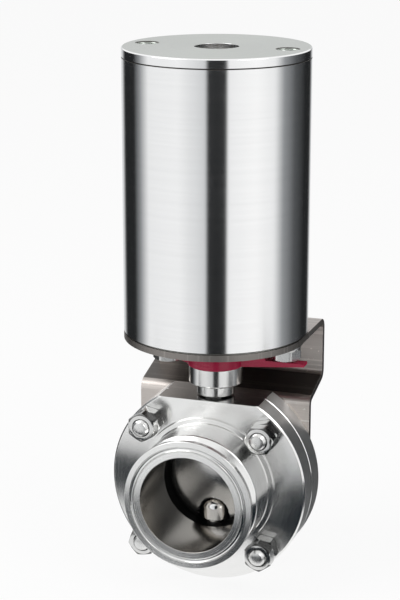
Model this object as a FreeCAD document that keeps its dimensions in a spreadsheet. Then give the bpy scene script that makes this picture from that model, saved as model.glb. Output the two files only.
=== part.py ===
# Pneumatic butterfly valve with clamp ferrules, a split flanged body and a single-acting actuator.
# Lengths are in millimetres. The pipe axis runs along +Y and the stem axis along +Z.
# The origin is the centre of the inlet ferrule's face. Profiles are written about the valve's own
# centre, where pipe axis and stem axis cross, and each piece's Placement moves it to the origin.
import FreeCAD, Part
import Sketcher
import math
import os
import re

os.makedirs("parts", exist_ok=True)

# Driving dimensions
SIZES = {
    # Body halves and ferrules
    "face_to_face": 86.0,
    "bore_radius": 23.8,
    "ferrule_radius": 32.0,
    "ferrule_rim": 2.85,
    "ferrule_taper": 2.1,
    "pipe_wall": 2.6,
    "ferrule_groove": 2.2,
    "shoulder_slope": 3.4,
    "gasket_groove_inset": 4.3,
    "gasket_groove_size": 1.35,
    "boss_width": 2.6,
    "boss_clearance": 0.3,
    "boss_step": 1.5,
    "flange_radius": 49.5,
    "flange_thickness": 12.6,
    "flange_edge": 0.8,
    "joint_edge": 0.45,
    "joint_gap": 0.1,
    "flat_depth": 7.0,
    "overrun": 1.0,
    # Seat ring
    "seat_half_width": 9.0,
    "seat_shoulder_depth": 2.8,
    "seat_tongue_depth": 3.0,
    "seat_tongue": 4.6,
    "seat_lip": 0.45,
    "seat_lip_half": 3.2,
    "seat_boss_radius": 8.8,
    "seat_boss_proud": 1.0,
    "seat_clearance": 0.04,
    # Disc and stem
    "disc_clearance": 0.3,
    "disc_rim": 4.2,
    "disc_centre": 7.4,
    "disc_waist": 13.5,
    "disc_dish": 0.9,
    "disc_edge": 0.7,
    "hub_radius": 6.9,
    "hub_inset": 1.25,
    "hub_shoulder": 15.6,
    "stem_radius": 6.0,
    "stem_clearance": 0.05,
    "stem_square": 8.0,
    "square_gap": 2.16,
    "stem_hole_radius": 6.7,
    "stem_gap": 0.8,
    "stem_engagement": 11.1,
    "trunnion_gap": 0.56,
    "trunnion_room": 1.9,
    "trunnion_edge": 0.8,
    "bush_radius": 8.0,
    "bush_length": 7.8,
    # Flange bolts and nuts
    "bolt_edge_distance": 7.5,
    "bolt_radius": 4.0,
    "hole_clearance": 0.5,
    "hex_width": 13.0,
    "head_height": 5.3,
    "nut_height": 6.5,
    "bolt_end": 2.2,
    "hex_chamfer": 0.9,
    # Bracket
    "sheet_thickness": 3.0,
    "bracket_side_step": 0.5,
    "bracket_reach": 38.5,
    "arm_clearance": 0.8,
    "incline_rise": 6.4,
    "knee_gap": 4.4,
    "leg_below_bolts": 12.7,
    "leg_clearance": 1.3,
    "bend_radius": 2.5,
    "bracket_hole_radius": 15.0,
    # Bolts under the actuator
    "mount_inset": 9.5,
    "washer_radius": 8.0,
    "washer_thickness": 1.6,
    "lock_washer_radius": 7.2,
    "lock_washer_thickness": 2.0,
    "mount_bolt_depth": 10.0,
    # Actuator shell
    "actuator_height": 137.0,
    "tube_radius": 44.5,
    "tube_wall": 2.5,
    "cap_lip": 0.6,
    "cap_lip_inset": 1.3,
    "cap_clearance": 0.04,
    "bottom_cap_height": 18.5,
    "top_cap_height": 18.5,
    "cap_rim_height": 4.6,
    "cap_seam": 0.12,
    "cap_edge": 0.6,
    "boss_drop": 2.4,
    "boss_fit": 0.15,
    "ring_section": 1.5,
    "ring_offset": 4.2,
    "ring_clearance": 0.05,
    "port_inset": 10.0,
    "port_radius": 5.72,
    "port_depth": 13.0,
    "port_passage_radius": 3.0,
    "centre_hole_radius": 10.5,
    "centre_hole_depth": 9.2,
    "vent_radius": 2.5,
    "vent_height": 24.0,
    "vent_edge": 0.4,
    # Guide rods
    "rod_gap": 0.9,
    "rod_radius": 4.0,
    "rod_thread": 10.0,
    "rod_end_gap": 0.2,
    "tie_radius": 3.0,
    "tie_head_radius": 5.0,
    "tie_head_height": 5.6,
    "tie_depth": 14.0,
    "tie_key_radius": 2.85,
    "thread_clearance": 0.02,
    # Output shaft
    "shaft_radius": 12.5,
    "journal_radius": 10.0,
    "shaft_clearance": 0.05,
    "shaft_bore_radius": 7.5,
    "shaft_floor": 8.5,
    "shaft_head_gap": 0.8,
    "plug_length": 34.0,
    "plug_slot_width": 2.0,
    "plug_slot_depth": 1.6,
    "shaft_square": 12.0,
    "shaft_bush_wall": 2.2,
    "wiper_height": 3.0,
    "head_bush_wall": 1.9,
    "head_seal_height": 3.2,
    "head_bush_gap": 0.2,
    "thrust_ledge": 3.5,
    "thrust_thickness": 1.5,
    # Cam
    "stroke": 30.0,
    "roller_radius": 5.0,
    "roller_length": 4.2,
    "roller_clearance": 0.16,
    "slot_overrun": 2.0,
    "pin_radius": 3.0,
    "pin_drop": 29.5,
    # Piston
    "piston_gap": 0.5,
    "piston_thickness": 14.0,
    "piston_clearance": 0.3,
    "piston_edge": 1.0,
    "seal_inset": 2.4,
    "seal_width": 4.0,
    "seal_depth": 3.2,
    "wear_inset": 1.2,
    "wear_width": 3.4,
    "wear_depth": 1.6,
    "groove_play": 0.05,
    "inner_seal_depth": 2.2,
    "inner_seal_height": 3.4,
    "skirt_length": 38.0,
    "skirt_radius": 17.5,
    "retainer_thickness": 1.6,
    "retainer_height": 8.0,
    "guide_bush_radius": 5.6,
    # Return spring
    "spring_gap": 3.0,
    "spring_wire": 2.8,
    "spring_turns": 6.0,
    # Coupling and pointer
    "small_collar_radius": 9.2,
    "small_collar_height": 5.1,
    "small_collar_edge": 0.5,
    "collar_groove": 0.6,
    "collar_groove_radius": 8.4,
    "collar_radius": 13.2,
    "collar_height": 9.0,
    "collar_edge": 0.9,
    "coupling_neck_radius": 10.2,
    "coupling_gap": 2.0,
    "socket_play": 0.05,
    "socket_end_gap": 0.3,
    "socket_web": 1.4,
    "pointer_radius": 14.0,
    "pointer_height": 8.5,
    "pointer_edge": 0.6,
    "pointer_foot_rise": 0.3,
    "pointer_width": 6.0,
    "pointer_length": 45.2,
    "pointer_tip_rise": 3.4,
    "pointer_tip_height": 1.4,
    "pointer_wall_gap": 2.5,
    "tail_length": 23.5,
    "tail_rise": 4.4,
    "grub_radius": 2.0,
    "grub_length": 3.4,
    "grub_rise": 3.0,
    "grub_inset": 0.3,
    "grub_key_radius": 1.1,
    "grub_key_depth": 1.6,
}
# The actuator's bolts: angle about the stem in degrees, share of the mount circle, and the head's turn
MOUNT_BOLTS = ((2.0, 1.0, 6.0), (145.0, 0.95, 30.0), (221.0, 0.706, 15.0))
# How far each nut is turned, in degrees
FLANGE_NUT_SPINS = (22.0, 50.0, 48.0, 14.0)
LOCK_NUT_SPINS = (10.0, 35.0, 30.0, 5.0)
QUARTER = 90.0
# Angles in degrees that divide the round end of the disc's hubs
HUB_BENDS = (0.0, 18.0, 36.0, 54.0, 72.0, 90.0)
# Shares of the stroke where the cam slots get a full round
CAM_ROUNDS = (0.0, 0.05, 0.95, 1.0)

# Levels and sizes that follow from the driving dimensions, as sheet expressions
DERIVED = {
    "half_face": "face_to_face / 2",
    "pipe_radius": "bore_radius + pipe_wall",
    "gasket_groove_radius": "bore_radius + gasket_groove_inset",
    "bolt_circle": "flange_radius - bolt_edge_distance",
    "bolt_offset": "bolt_circle / sqrt(2)",
    "hex_corner": "hex_width / sqrt(3)",
    "boss_radius": "bolt_circle - hex_corner - boss_clearance",
    "neck_radius": "boss_radius - boss_width",
    "flat_height": "flange_radius - flat_depth",
    "seat_shoulder_radius": "bore_radius + seat_shoulder_depth",
    "seat_radius": "seat_shoulder_radius + seat_tongue_depth",
    "seat_boss_height": "seat_radius + seat_boss_proud",
    "disc_radius": "bore_radius - seat_lip - disc_clearance",
    "hub_height": "disc_radius - hub_inset",
    "shoulder_foot": "half_face - ferrule_rim - ferrule_taper - ferrule_groove",
    "bush_inner": "stem_radius + stem_clearance",
    "recess_radius": "seat_radius + seat_clearance",
    "bush_top": "eye_end + bush_length",
    "square_base": "bush_top + square_gap",
    "trunnion_end": "bush_top + trunnion_gap",
    "stem_top": "flat_height + stem_gap + stem_engagement",
    "hole_radius": "bolt_radius + hole_clearance",
    "bracket_half_width": "tube_radius - bracket_side_step",
    "bracket_inner": "bracket_reach - sheet_thickness",
    "knee_height": "bolt_offset + hex_width / 2 + knee_gap",
    "leg_foot": "bolt_offset - leg_below_bolts",
    "leg_cut_radius": "boss_radius + leg_clearance",
    "mount_circle": "tube_radius - mount_inset",
    "arm_top": "pointer_base + pointer_tip_rise + pointer_tip_height",
    "lock_washer_base": "arm_top + arm_clearance + head_height",
    "washer_base": "lock_washer_base + lock_washer_thickness",
    "plate_base": "washer_base + washer_thickness",
    "incline_run": "bracket_inner - flange_thickness",
    "incline_slope": "incline_rise / incline_run",
    "incline_drop": "sheet_thickness * sqrt(1 + incline_slope * incline_slope)",
    "outer_low_knee": "knee_height + sheet_thickness * incline_slope - incline_drop",
    "outer_high_knee": "knee_height + (incline_run + sheet_thickness) * incline_slope - incline_drop",
    "plate_top": "plate_base + sheet_thickness",
    "tube_foot": "plate_top + cap_lip",
    "actuator_top": "plate_top + actuator_height",
    "rim_base": "actuator_top - cap_rim_height",
    "tube_bore": "tube_radius - tube_wall",
    "spigot_radius": "tube_bore - cap_clearance",
    "bottom_cap_top": "plate_top + bottom_cap_height",
    "top_cap_base": "actuator_top - top_cap_height",
    "boss_base": "plate_top - boss_drop",
    "ring_seat_radius": "spigot_radius - 2 * ring_section",
    "port_spread": "tube_radius - port_inset",
    "rod_offset": "skirt_radius + retainer_thickness + rod_gap + rod_radius",
    "shaft_bush_radius": "journal_radius + shaft_bush_wall",
    "head_bush_radius": "shaft_radius + head_bush_wall",
    "thrust_radius": "shaft_radius + thrust_ledge",
    "spring_radius": "tube_bore - spring_gap - spring_wire",
    "pointer_wall": "mount_circle - hex_corner - pointer_wall_gap",
    "thrust_top": "bottom_cap_top + thrust_thickness",
    "shaft_top": "head_floor - shaft_head_gap",
    "shaft_bore_floor": "thrust_top + shaft_floor",
    "plug_base": "shaft_top - plug_length",
    "head_floor": "actuator_top - centre_hole_depth",
    "piston_top": "top_cap_base - piston_gap",
    "piston_base": "piston_top - piston_thickness",
    "piston_radius": "tube_bore - piston_clearance",
    "piston_bore": "shaft_radius + shaft_clearance",
    "skirt_foot": "piston_base - skirt_length",
    "pin_height": "piston_base - pin_drop",
    "pin_low": "pin_height - stroke",
    "slot_radius": "roller_radius + roller_clearance",
    "roller_end": "sqrt(piston_bore * piston_bore - roller_radius * roller_radius) - roller_clearance",
    "pin_half": "sqrt(skirt_radius * skirt_radius - pin_radius * pin_radius) - thread_clearance",
    "cam_lead": "2 * stroke / pi",
    "coupling_foot": "flat_height + stem_gap",
    "groove_foot": "coupling_foot + small_collar_height",
    "collar_foot": "groove_foot + collar_groove",
    "pointer_base": "collar_foot + collar_height",
    "coupling_top": "plate_base - coupling_gap",
    "socket_roof": "stem_top + socket_end_gap",
    "shaft_foot": "socket_roof + socket_web + socket_end_gap",
    "grub_level": "collar_foot + grub_rise",
    "pointer_middle": "pointer_base + pointer_height / 2",
    "eye_end": "seat_boss_height + seat_clearance",
    "seal_high": "piston_top - seal_inset",
    "seal_low": "seal_high - seal_width",
    "seal_seat": "piston_radius - seal_depth",
    "wear_low": "piston_base + wear_inset",
    "wear_high": "wear_low + wear_width",
    "wear_seat": "piston_radius - wear_depth",
    "inner_seal_seat": "piston_bore + inner_seal_depth",
    "inner_seal_base": "piston_top - inner_seal_height",
    "slot_reach": "shaft_radius + slot_overrun",
    "coil_height": "spring_rest - 2 * spring_wire",
    "pointer_top": "pointer_base + pointer_height",
    "pointer_bore": "coupling_neck_radius + shaft_clearance",
    "spring_rest": "piston_base - bottom_cap_top",
}

doc = FreeCAD.newDocument("ButterflyValve")
sheet = doc.addObject("Spreadsheet::Sheet", "Sizes")
for row, (alias, number) in enumerate(SIZES.items(), start=1):
    sheet.set(f"A{row}", alias.replace("_", " "))
    sheet.set(f"B{row}", str(number))
    sheet.setAlias(f"B{row}", alias)
doc.recompute()

NODES = []
HAIR = 0.001


def bound(text):
    """Turn a phrase of plain size names into a sheet expression."""
    def swap(found):
        word = found[0]
        if word in DERIVED:
            return f"({bound(DERIVED[word])})"
        if word in SIZES:
            return f"Sizes.{word}"
        return word
    return re.sub(r"[a-z][a-z_]*", swap, str(text))


def value(text):
    """Give the present value of a phrase of size names."""
    return float(sheet.evalExpression(bound(text)))


def bind(item, **phrases):
    """Bind an object's properties to phrases of size names."""
    for name, phrase in phrases.items():
        item.setExpression(name, bound(phrase))
    return item


def place(item, x=None, y=None, z=None, axis=None, angle=0.0, spin=0.0):
    """Spin an object about its own Z, turn it about an axis, and bind where it stands."""
    if axis:
        turn = FreeCAD.Rotation(FreeCAD.Vector(*axis), angle)
        spun = FreeCAD.Rotation(FreeCAD.Vector(0, 0, 1), spin)
        item.Placement = FreeCAD.Placement(FreeCAD.Vector(), turn * spun)
    for letter, phrase in (("x", x), ("y", y), ("z", z)):
        if phrase is not None:
            item.setExpression(f".Placement.Base.{letter}", bound(phrase))
    return item


def node(item, name):
    """Name a finished piece and move it from the valve's centre to the inlet face's frame."""
    item.Label = name
    place(item, y="half_face")
    NODES.append(item)
    return item


def new_body(name):
    return doc.addObject("PartDesign::Body", name + "_body")


def origin_feature(body, role):
    return next(item for item in body.Origin.OriginFeatures if item.Role == role)


def new_sketch(body, plane, level=None):
    """Start a sketch on one of the body's own planes, lifted by a bound level."""
    sketch = body.newObject("Sketcher::SketchObject", body.Name + "_sketch")
    sketch.AttachmentSupport = (origin_feature(body, plane), "")
    sketch.MapMode = "FlatFace"
    if level is not None:
        sketch.setExpression(".AttachmentOffset.Base.z", bound(level))
    return sketch


def fix_point(sketch, line, end, across, along):
    """Hold one end of a line at a bound place from the sketch's origin."""
    for kind, phrase in (("DistanceX", across), ("DistanceY", along)):
        rule = sketch.addConstraint(Sketcher.Constraint(kind, -1, 1, line, end, value(phrase)))
        sketch.setExpression(f"Constraints[{rule}]", bound(phrase))


def outline(sketch, corners):
    """Draw a closed outline of straight sides through bound corners."""
    spots = [FreeCAD.Vector(value(across), value(along), 0) for across, along in corners]
    first = sketch.GeometryCount
    for step, spot in enumerate(spots):
        sketch.addGeometry(Part.LineSegment(spot, spots[(step + 1) % len(spots)]), False)
    for step, (across, along) in enumerate(corners):
        following = first + (step + 1) % len(corners)
        sketch.addConstraint(Sketcher.Constraint("Coincident", first + step, 2, following, 1))
        fix_point(sketch, first + step, 1, across, along)
    return sketch


def round_mark(sketch, radius, across="0", along="0"):
    """Draw a circle with a bound radius and centre."""
    centre = FreeCAD.Vector(value(across), value(along), 0)
    ring = sketch.addGeometry(Part.Circle(centre, FreeCAD.Vector(0, 0, 1), value(radius)), False)
    rule = sketch.addConstraint(Sketcher.Constraint("Radius", ring, value(radius)))
    sketch.setExpression(f"Constraints[{rule}]", bound(radius))
    for kind, phrase in (("DistanceX", across), ("DistanceY", along)):
        rule = sketch.addConstraint(Sketcher.Constraint(kind, -1, 1, ring, 3, value(phrase)))
        sketch.setExpression(f"Constraints[{rule}]", bound(phrase))
    return sketch


def turned(body, plane, corners, cut=False):
    """Turn a closed outline about its sketch's upright axis, to add or to cut."""
    sketch = outline(new_sketch(body, plane), corners)
    return turn_sketch(body, sketch, cut)


def turn_sketch(body, sketch, cut=False):
    kind = "PartDesign::Groove" if cut else "PartDesign::Revolution"
    feature = body.newObject(kind, body.Name + "_turn")
    feature.Profile = sketch
    feature.ReferenceAxis = (sketch, ["V_Axis"])
    feature.Angle = 360
    return feature


def padded(body, sketch, length, reverse=False, both=False):
    feature = body.newObject("PartDesign::Pad", body.Name + "_pad")
    feature.Profile = sketch
    feature.setExpression("Length", bound(length))
    feature.Reversed = reverse
    feature.Midplane = both
    return feature


def pocket(body, sketch, length, reverse=False, both=False):
    feature = body.newObject("PartDesign::Pocket", body.Name + "_pocket")
    feature.Profile = sketch
    feature.setExpression("Length", bound(length))
    feature.Reversed = reverse
    feature.Midplane = both
    return feature


def square(sketch, width):
    """Draw a square about the sketch's origin."""
    half = f"({width}) / 2"
    return outline(sketch, [(f"-{half}", f"-{half}"), (half, f"-{half}"),
                            (half, half), (f"-{half}", half)])


def turned_piece(name, corners, plane="XZ_Plane"):
    """Make a plain turned piece from one outline."""
    body = new_body(name)
    turned(body, plane, corners)
    return node(body, name)


def ring_corners(inner, outer, low, high):
    return [(inner, low), (outer, low), (outer, high), (inner, high)]


def round_ring(name, centre_radius, level, section):
    """Make an O-ring about the stem axis."""
    ring = doc.addObject("Part::Torus", name + "_torus")
    bind(ring, Radius1=centre_radius, Radius2=section)
    return place(ring, z=level)


def cylinder(radius, height, name="cylinder"):
    item = doc.addObject("Part::Cylinder", name)
    return bind(item, Radius=radius, Height=height)


def fused(pieces, name="fused"):
    item = doc.addObject("Part::MultiFuse", name)
    item.Shapes = pieces
    return item


def cut(base, tool, name="cut"):
    item = doc.addObject("Part::Cut", name)
    item.Base = base
    item.Tool = tool
    return item


def group(name, spots, form, axis=None, angle=0.0, spins=(0.0,)):
    """Set copies of one form at bound spots and join them as one node of separate solids."""
    links = []
    for step, (across, along, up) in enumerate(spots):
        link = doc.addObject("App::Link", name + "_copy")
        link.LinkedObject = form
        links.append(place(link, across, along, up, axis, angle, spins[step % len(spins)]))
    item = doc.addObject("Part::Compound", name + "_set")
    item.Links = links
    return node(item, name)


def hex_form(name, height):
    """Make a hexagon whose end corners are turned off."""
    prism = doc.addObject("Part::Prism", name + "_prism")
    prism.Polygon = 6
    bind(prism, Circumradius="hex_corner", Height=height)
    blank = cylinder("hex_corner", height, name + "_blank")
    doc.recompute()
    turned_ends = doc.addObject("Part::Chamfer", name + "_ends")
    turned_ends.Base = blank
    lead = value("hex_chamfer")
    turned_ends.Edges = [(2, lead / 2, lead), (3, lead / 2, lead)]
    form = doc.addObject("Part::Common", name + "_form")
    form.Base = prism
    form.Tool = turned_ends
    return form


# Body halves

def body_half(name, side):
    """Turn one half of the flanged body with its neck and clamp ferrule. side is -1 at the inlet."""
    body = new_body(name)
    edge = "flange_radius - flange_edge"
    corners = [
        ("bore_radius", "half_face"),
        ("bore_radius", "seat_half_width + seat_clearance"),
        ("seat_shoulder_radius + seat_clearance", "seat_half_width + seat_clearance"),
        ("seat_shoulder_radius + seat_clearance", "seat_tongue + seat_clearance"),
        ("recess_radius", "seat_tongue + seat_clearance"),
        ("recess_radius", "joint_gap / 2"),
        ("flange_radius - joint_edge", "joint_gap / 2"),
        ("flange_radius", "joint_gap / 2 + joint_edge"),
        ("flange_radius", "flange_thickness - flange_edge"),
        (edge, "flange_thickness"),
        ("boss_radius", "flange_thickness"),
        ("boss_radius", "flange_thickness + boss_step"),
        ("neck_radius", "flange_thickness + boss_step"),
        ("neck_radius", "shoulder_foot - shoulder_slope"),
        ("pipe_radius", "shoulder_foot"),
        ("pipe_radius", "half_face - ferrule_rim - ferrule_taper"),
        ("ferrule_radius", "half_face - ferrule_rim"),
        ("ferrule_radius", "half_face"),
    ]
    turned(body, "XY_Plane", [(across, f"{side} * ({along})") for across, along in corners])
    groove = new_sketch(body, "XY_Plane")
    round_mark(groove, "gasket_groove_size", "gasket_groove_radius", f"{side} * half_face")
    turn_sketch(body, groove, cut=True)
    flat = new_sketch(body, "XZ_Plane")
    over = "flange_radius + overrun"
    outline(flat, [(f"-({over})", "flat_height"), (over, "flat_height"),
                   (over, over), (f"-({over})", over)])
    pocket(body, flat, "face_to_face", both=True)
    stem_channel(body)
    holes = new_sketch(body, "XZ_Plane")
    for across, along in bolt_spots():
        round_mark(holes, "hole_radius", across, along)
    pocket(body, holes, "face_to_face", both=True)
    return node(body, name)


def bolt_spots(height_signs=(-1, 1)):
    return [(f"{x} * bolt_offset", f"{z} * bolt_offset") for z in height_signs for x in (-1, 1)]


def stem_channel(body):
    """Cut the room for the seat's stem eyes and bushes, open above and blind below."""
    eye = "seat_boss_radius + seat_clearance"
    bush = "bush_radius + thread_clearance"
    turned(body, "XZ_Plane", [
        ("0", "bore_radius - overrun"),
        (eye, "bore_radius - overrun"),
        (eye, "eye_end"),
        (bush, "eye_end"),
        (bush, "bush_top"),
        ("stem_hole_radius", "bush_top"),
        ("stem_hole_radius", "flat_height + overrun"),
        ("0", "flat_height + overrun"),
    ], cut=True)
    turned(body, "XZ_Plane", [
        ("0", "overrun - bore_radius"),
        (eye, "overrun - bore_radius"),
        (eye, "-eye_end"),
        (bush, "-eye_end"),
        (bush, "-bush_top - trunnion_room"),
        ("0", "-bush_top - trunnion_room"),
    ], cut=True)


def seat_ring():
    """Turn the rubber seat with its tongue and lip, and add the eyes that seal the stem."""
    body = new_body("seat_ring")
    lip = "bore_radius - seat_lip"
    turned(body, "XY_Plane", [
        ("bore_radius", "-seat_half_width"),
        ("seat_shoulder_radius", "-seat_half_width"),
        ("seat_shoulder_radius", "-seat_tongue"),
        ("seat_radius", "-seat_tongue"),
        ("seat_radius", "seat_tongue"),
        ("seat_shoulder_radius", "seat_tongue"),
        ("seat_shoulder_radius", "seat_half_width"),
        ("bore_radius", "seat_half_width"),
        (lip, "seat_lip_half"),
        (lip, "-seat_lip_half"),
    ])
    for side in (1, -1):
        turned(body, "XZ_Plane", [
            ("0", f"{side} * (bore_radius + overrun)"),
            ("seat_boss_radius", f"{side} * (bore_radius + overrun)"),
            ("seat_boss_radius", f"{side} * seat_boss_height"),
            ("0", f"{side} * seat_boss_height"),
        ])
    eyes = round_mark(new_sketch(body, "XY_Plane"), "bush_inner")
    pocket(body, eyes, "face_to_face", both=True)
    return node(body, "seat_ring")


def stem_bushes():
    """Turn the plain bearings of the stem, above and below the seat."""
    turned_piece("upper_stem_bush", ring_corners("bush_inner", "bush_radius", "eye_end", "bush_top"))
    turned_piece("lower_stem_bush", ring_corners("bush_inner", "bush_radius", "-bush_top", "-eye_end"))


def hub_end(side):
    """Give the corners of a hub's round end, from the stem axis out to its full radius."""
    corners = []
    for bend in HUB_BENDS:
        out = math.sin(math.radians(bend))
        down = math.cos(math.radians(bend))
        corners.append((f"hub_radius * {out:.9f}", f"{side}(hub_shoulder - hub_radius * {down:.9f})"))
    return corners


def valve_disc():
    """Turn the disc as a shallow lens, with round-ended hubs that stand out of it and one-piece stems."""
    body = new_body("valve_disc")
    turned(body, "XY_Plane", [
        ("0", "-disc_centre / 2"),
        ("disc_waist", "-disc_centre / 2 + disc_dish"),
        ("disc_radius - disc_edge", "-disc_rim / 2"),
        ("disc_radius", "-disc_rim / 2 + disc_edge"),
        ("disc_radius", "disc_rim / 2 - disc_edge"),
        ("disc_radius - disc_edge", "disc_rim / 2"),
        ("disc_waist", "disc_centre / 2 - disc_dish"),
        ("0", "disc_centre / 2"),
    ])
    turned(body, "XZ_Plane", [
        *hub_end(""),
        ("hub_radius", "hub_height"),
        ("stem_radius", "hub_height"),
        ("stem_radius", "square_base"),
        ("0", "square_base"),
    ])
    turned(body, "XZ_Plane", [
        *hub_end("-"),
        ("hub_radius", "-hub_height"),
        ("stem_radius", "-hub_height"),
        ("stem_radius", "-trunnion_end + trunnion_edge"),
        ("stem_radius - trunnion_edge", "-trunnion_end"),
        ("0", "-trunnion_end"),
    ])
    drive = square(new_sketch(body, "XY_Plane", "square_base"), "stem_square")
    padded(body, drive, "stem_top - square_base")
    return node(body, "valve_disc")


# Flange fasteners

def flange_bolts():
    """Set four bolts from the rear. The upper two clamp the bracket's leg as well."""
    for name, signs, clamped in (("upper_flange_bolts", (1,), "sheet_thickness"),
                                 ("lower_flange_bolts", (-1,), "0")):
        seat = f"flange_thickness + {clamped}"
        length = f"{seat} + flange_thickness + 2 * nut_height + bolt_end"
        head = hex_form(name, "head_height")
        place(head, z="-head_height")
        shank = cylinder("bolt_radius", length, name + "_shank")
        doc.recompute()
        end = doc.addObject("Part::Chamfer", name + "_end")
        end.Base = shank
        end.Edges = [(3, value("hex_chamfer"), value("hex_chamfer"))]
        form = fused([head, end], name + "_bolt")
        spots = [(x, seat, z) for x, z in bolt_spots(signs)]
        group(name, spots, form, (1, 0, 0), 90)


def flange_nuts():
    """Set a nut and a lock nut on each bolt, at the front."""
    thread = cylinder("bolt_radius + thread_clearance", "nut_height", "nut_thread")
    form = cut(hex_form("nut", "nut_height"), thread, "nut")
    for name, lift, spins in (("flange_nuts", "0", FLANGE_NUT_SPINS),
                              ("lock_nuts", "nut_height", LOCK_NUT_SPINS)):
        spots = [(x, f"-flange_thickness - {lift}", z) for x, z in bolt_spots()]
        group(name, spots, form, (1, 0, 0), 90, spins)


# Bracket

def bracket():
    """Bend the bracket from sheet: round-fronted plate, back, incline and a leg behind the flange."""
    body = new_body("bracket")
    fold = outline(new_sketch(body, "YZ_Plane"), [
        ("0", "plate_base"),
        ("0", "plate_top"),
        ("bracket_reach", "plate_top"),
        ("bracket_reach", "outer_high_knee"),
        ("flange_thickness + sheet_thickness", "outer_low_knee"),
        ("flange_thickness + sheet_thickness", "leg_foot"),
        ("flange_thickness", "leg_foot"),
        ("flange_thickness", "knee_height"),
        ("bracket_inner", "knee_height + incline_rise"),
        ("bracket_inner", "plate_base"),
    ])
    padded(body, fold, "2 * bracket_half_width", both=True)
    doc.recompute()
    round_bends(body)
    front_tongue(body)
    leg_cuts(body)
    plate_holes(body)
    return node(body, "bracket")


def round_bends(body):
    """Round both sides of the sheet at each of its three bends."""
    inner = [("bracket_inner", "plate_base"), ("bracket_inner", "knee_height + incline_rise"),
             ("flange_thickness + sheet_thickness", "outer_low_knee")]
    outer = [("bracket_reach", "plate_top"), ("bracket_reach", "outer_high_knee"),
             ("flange_thickness", "knee_height")]
    for spots, radius in ((inner, "bend_radius"), (outer, "bend_radius + sheet_thickness")):
        base = body.Tip
        names = [edge_at(base.Shape, value(y), value(z)) for y, z in spots]
        bend = body.newObject("PartDesign::Fillet", "bracket_bend")
        bend.Base = (base, names)
        bend.setExpression("Radius", bound(radius))
        doc.recompute()


def edge_at(shape, y, z):
    """Name the edge that runs along X through a place in the YZ plane."""
    for count, edge in enumerate(shape.Edges, start=1):
        box = edge.BoundBox
        off = abs(box.YMin - y) + abs(box.YMax - y) + abs(box.ZMin - z) + abs(box.ZMax - z)
        if off < HAIR and box.XLength > HAIR:
            return f"Edge{count}"
    raise ValueError(f"no edge at y {y} z {z}")


def front_tongue(body):
    """Add the round front of the plate, flush with the tube above."""
    sketch = new_sketch(body, "XY_Plane", "plate_base")
    half = value("bracket_half_width")
    radius = value("tube_radius")
    drop = math.sqrt(radius ** 2 - half ** 2)
    corner = math.atan2(drop, half)
    left = FreeCAD.Vector(-half, -drop, 0)
    right = FreeCAD.Vector(half, -drop, 0)
    back_left = FreeCAD.Vector(-half, 0, 0)
    back_right = FreeCAD.Vector(half, 0, 0)
    round_edge = Part.Circle(FreeCAD.Vector(), FreeCAD.Vector(0, 0, 1), radius)
    front = Part.ArcOfCircle(round_edge, math.pi + corner, 2 * math.pi - corner)
    arc = sketch.addGeometry(front, False)
    sides = [sketch.addGeometry(Part.LineSegment(*pair), False)
             for pair in ((right, back_right), (back_right, back_left), (back_left, left))]
    joins = [(arc, 2, sides[0], 1), (sides[0], 2, sides[1], 1), (sides[1], 2, sides[2], 1),
             (sides[2], 2, arc, 1), (arc, 3, -1, 1)]
    for join in joins:
        sketch.addConstraint(Sketcher.Constraint("Coincident", *join))
    sketch.addConstraint(Sketcher.Constraint("Vertical", sides[0]))
    sketch.addConstraint(Sketcher.Constraint("Vertical", sides[2]))
    rule = sketch.addConstraint(Sketcher.Constraint("Radius", arc, radius))
    sketch.setExpression(f"Constraints[{rule}]", bound("tube_radius"))
    fix_point(sketch, sides[1], 1, "bracket_half_width", "0")
    fix_point(sketch, sides[1], 2, "-bracket_half_width", "0")
    padded(body, sketch, "sheet_thickness")


def leg_cuts(body):
    """Cut the leg round the neck, and drill it for the upper flange bolts."""
    sketch = round_mark(new_sketch(body, "XZ_Plane"), "leg_cut_radius")
    pocket(body, sketch, "face_to_face", both=True)
    holes = new_sketch(body, "XZ_Plane")
    for across, along in bolt_spots((1,)):
        round_mark(holes, "hole_radius", across, along)
    pocket(body, holes, "face_to_face", both=True)


def mount_spots():
    """Give where the bolts under the actuator stand, as bound x and y."""
    spots = []
    for angle, share, _ in MOUNT_BOLTS:
        east = share * math.cos(math.radians(angle))
        north = share * math.sin(math.radians(angle))
        spots.append((f"{east:.9f} * mount_circle", f"{north:.9f} * mount_circle"))
    return spots


def plate_holes(body):
    """Drill the plate for the actuator's bolts and its locating boss."""
    sketch = new_sketch(body, "XY_Plane", "plate_top")
    round_mark(sketch, "bracket_hole_radius")
    for across, along in mount_spots():
        round_mark(sketch, "hole_radius", across, along)
    pocket(body, sketch, "sheet_thickness")


def mount_fasteners():
    """Hold the actuator on the plate with three bolts, each with a washer and a lock washer."""
    head = place(hex_form("mount_bolt", "head_height"), z="-head_height")
    grip = "lock_washer_thickness + washer_thickness + sheet_thickness + mount_bolt_depth"
    form = fused([head, cylinder("bolt_radius", grip, "mount_shank")], "mount_bolt")
    spins = [spin for _, _, spin in MOUNT_BOLTS]
    seats = [(x, y, "lock_washer_base") for x, y in mount_spots()]
    group("bracket_bolts", seats, form, (0, 0, 1), 0, spins)
    for name, radius, thickness, level in (
            ("plain_washers", "washer_radius", "washer_thickness", "washer_base"),
            ("lock_washers", "lock_washer_radius", "lock_washer_thickness", "lock_washer_base")):
        ring = cut(cylinder(radius, thickness, name + "_blank"),
                   cylinder("bolt_radius + thread_clearance", thickness, name + "_hole"), name + "_form")
        group(name, [(x, y, level) for x, y in mount_spots()], ring)


# Actuator shell

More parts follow.
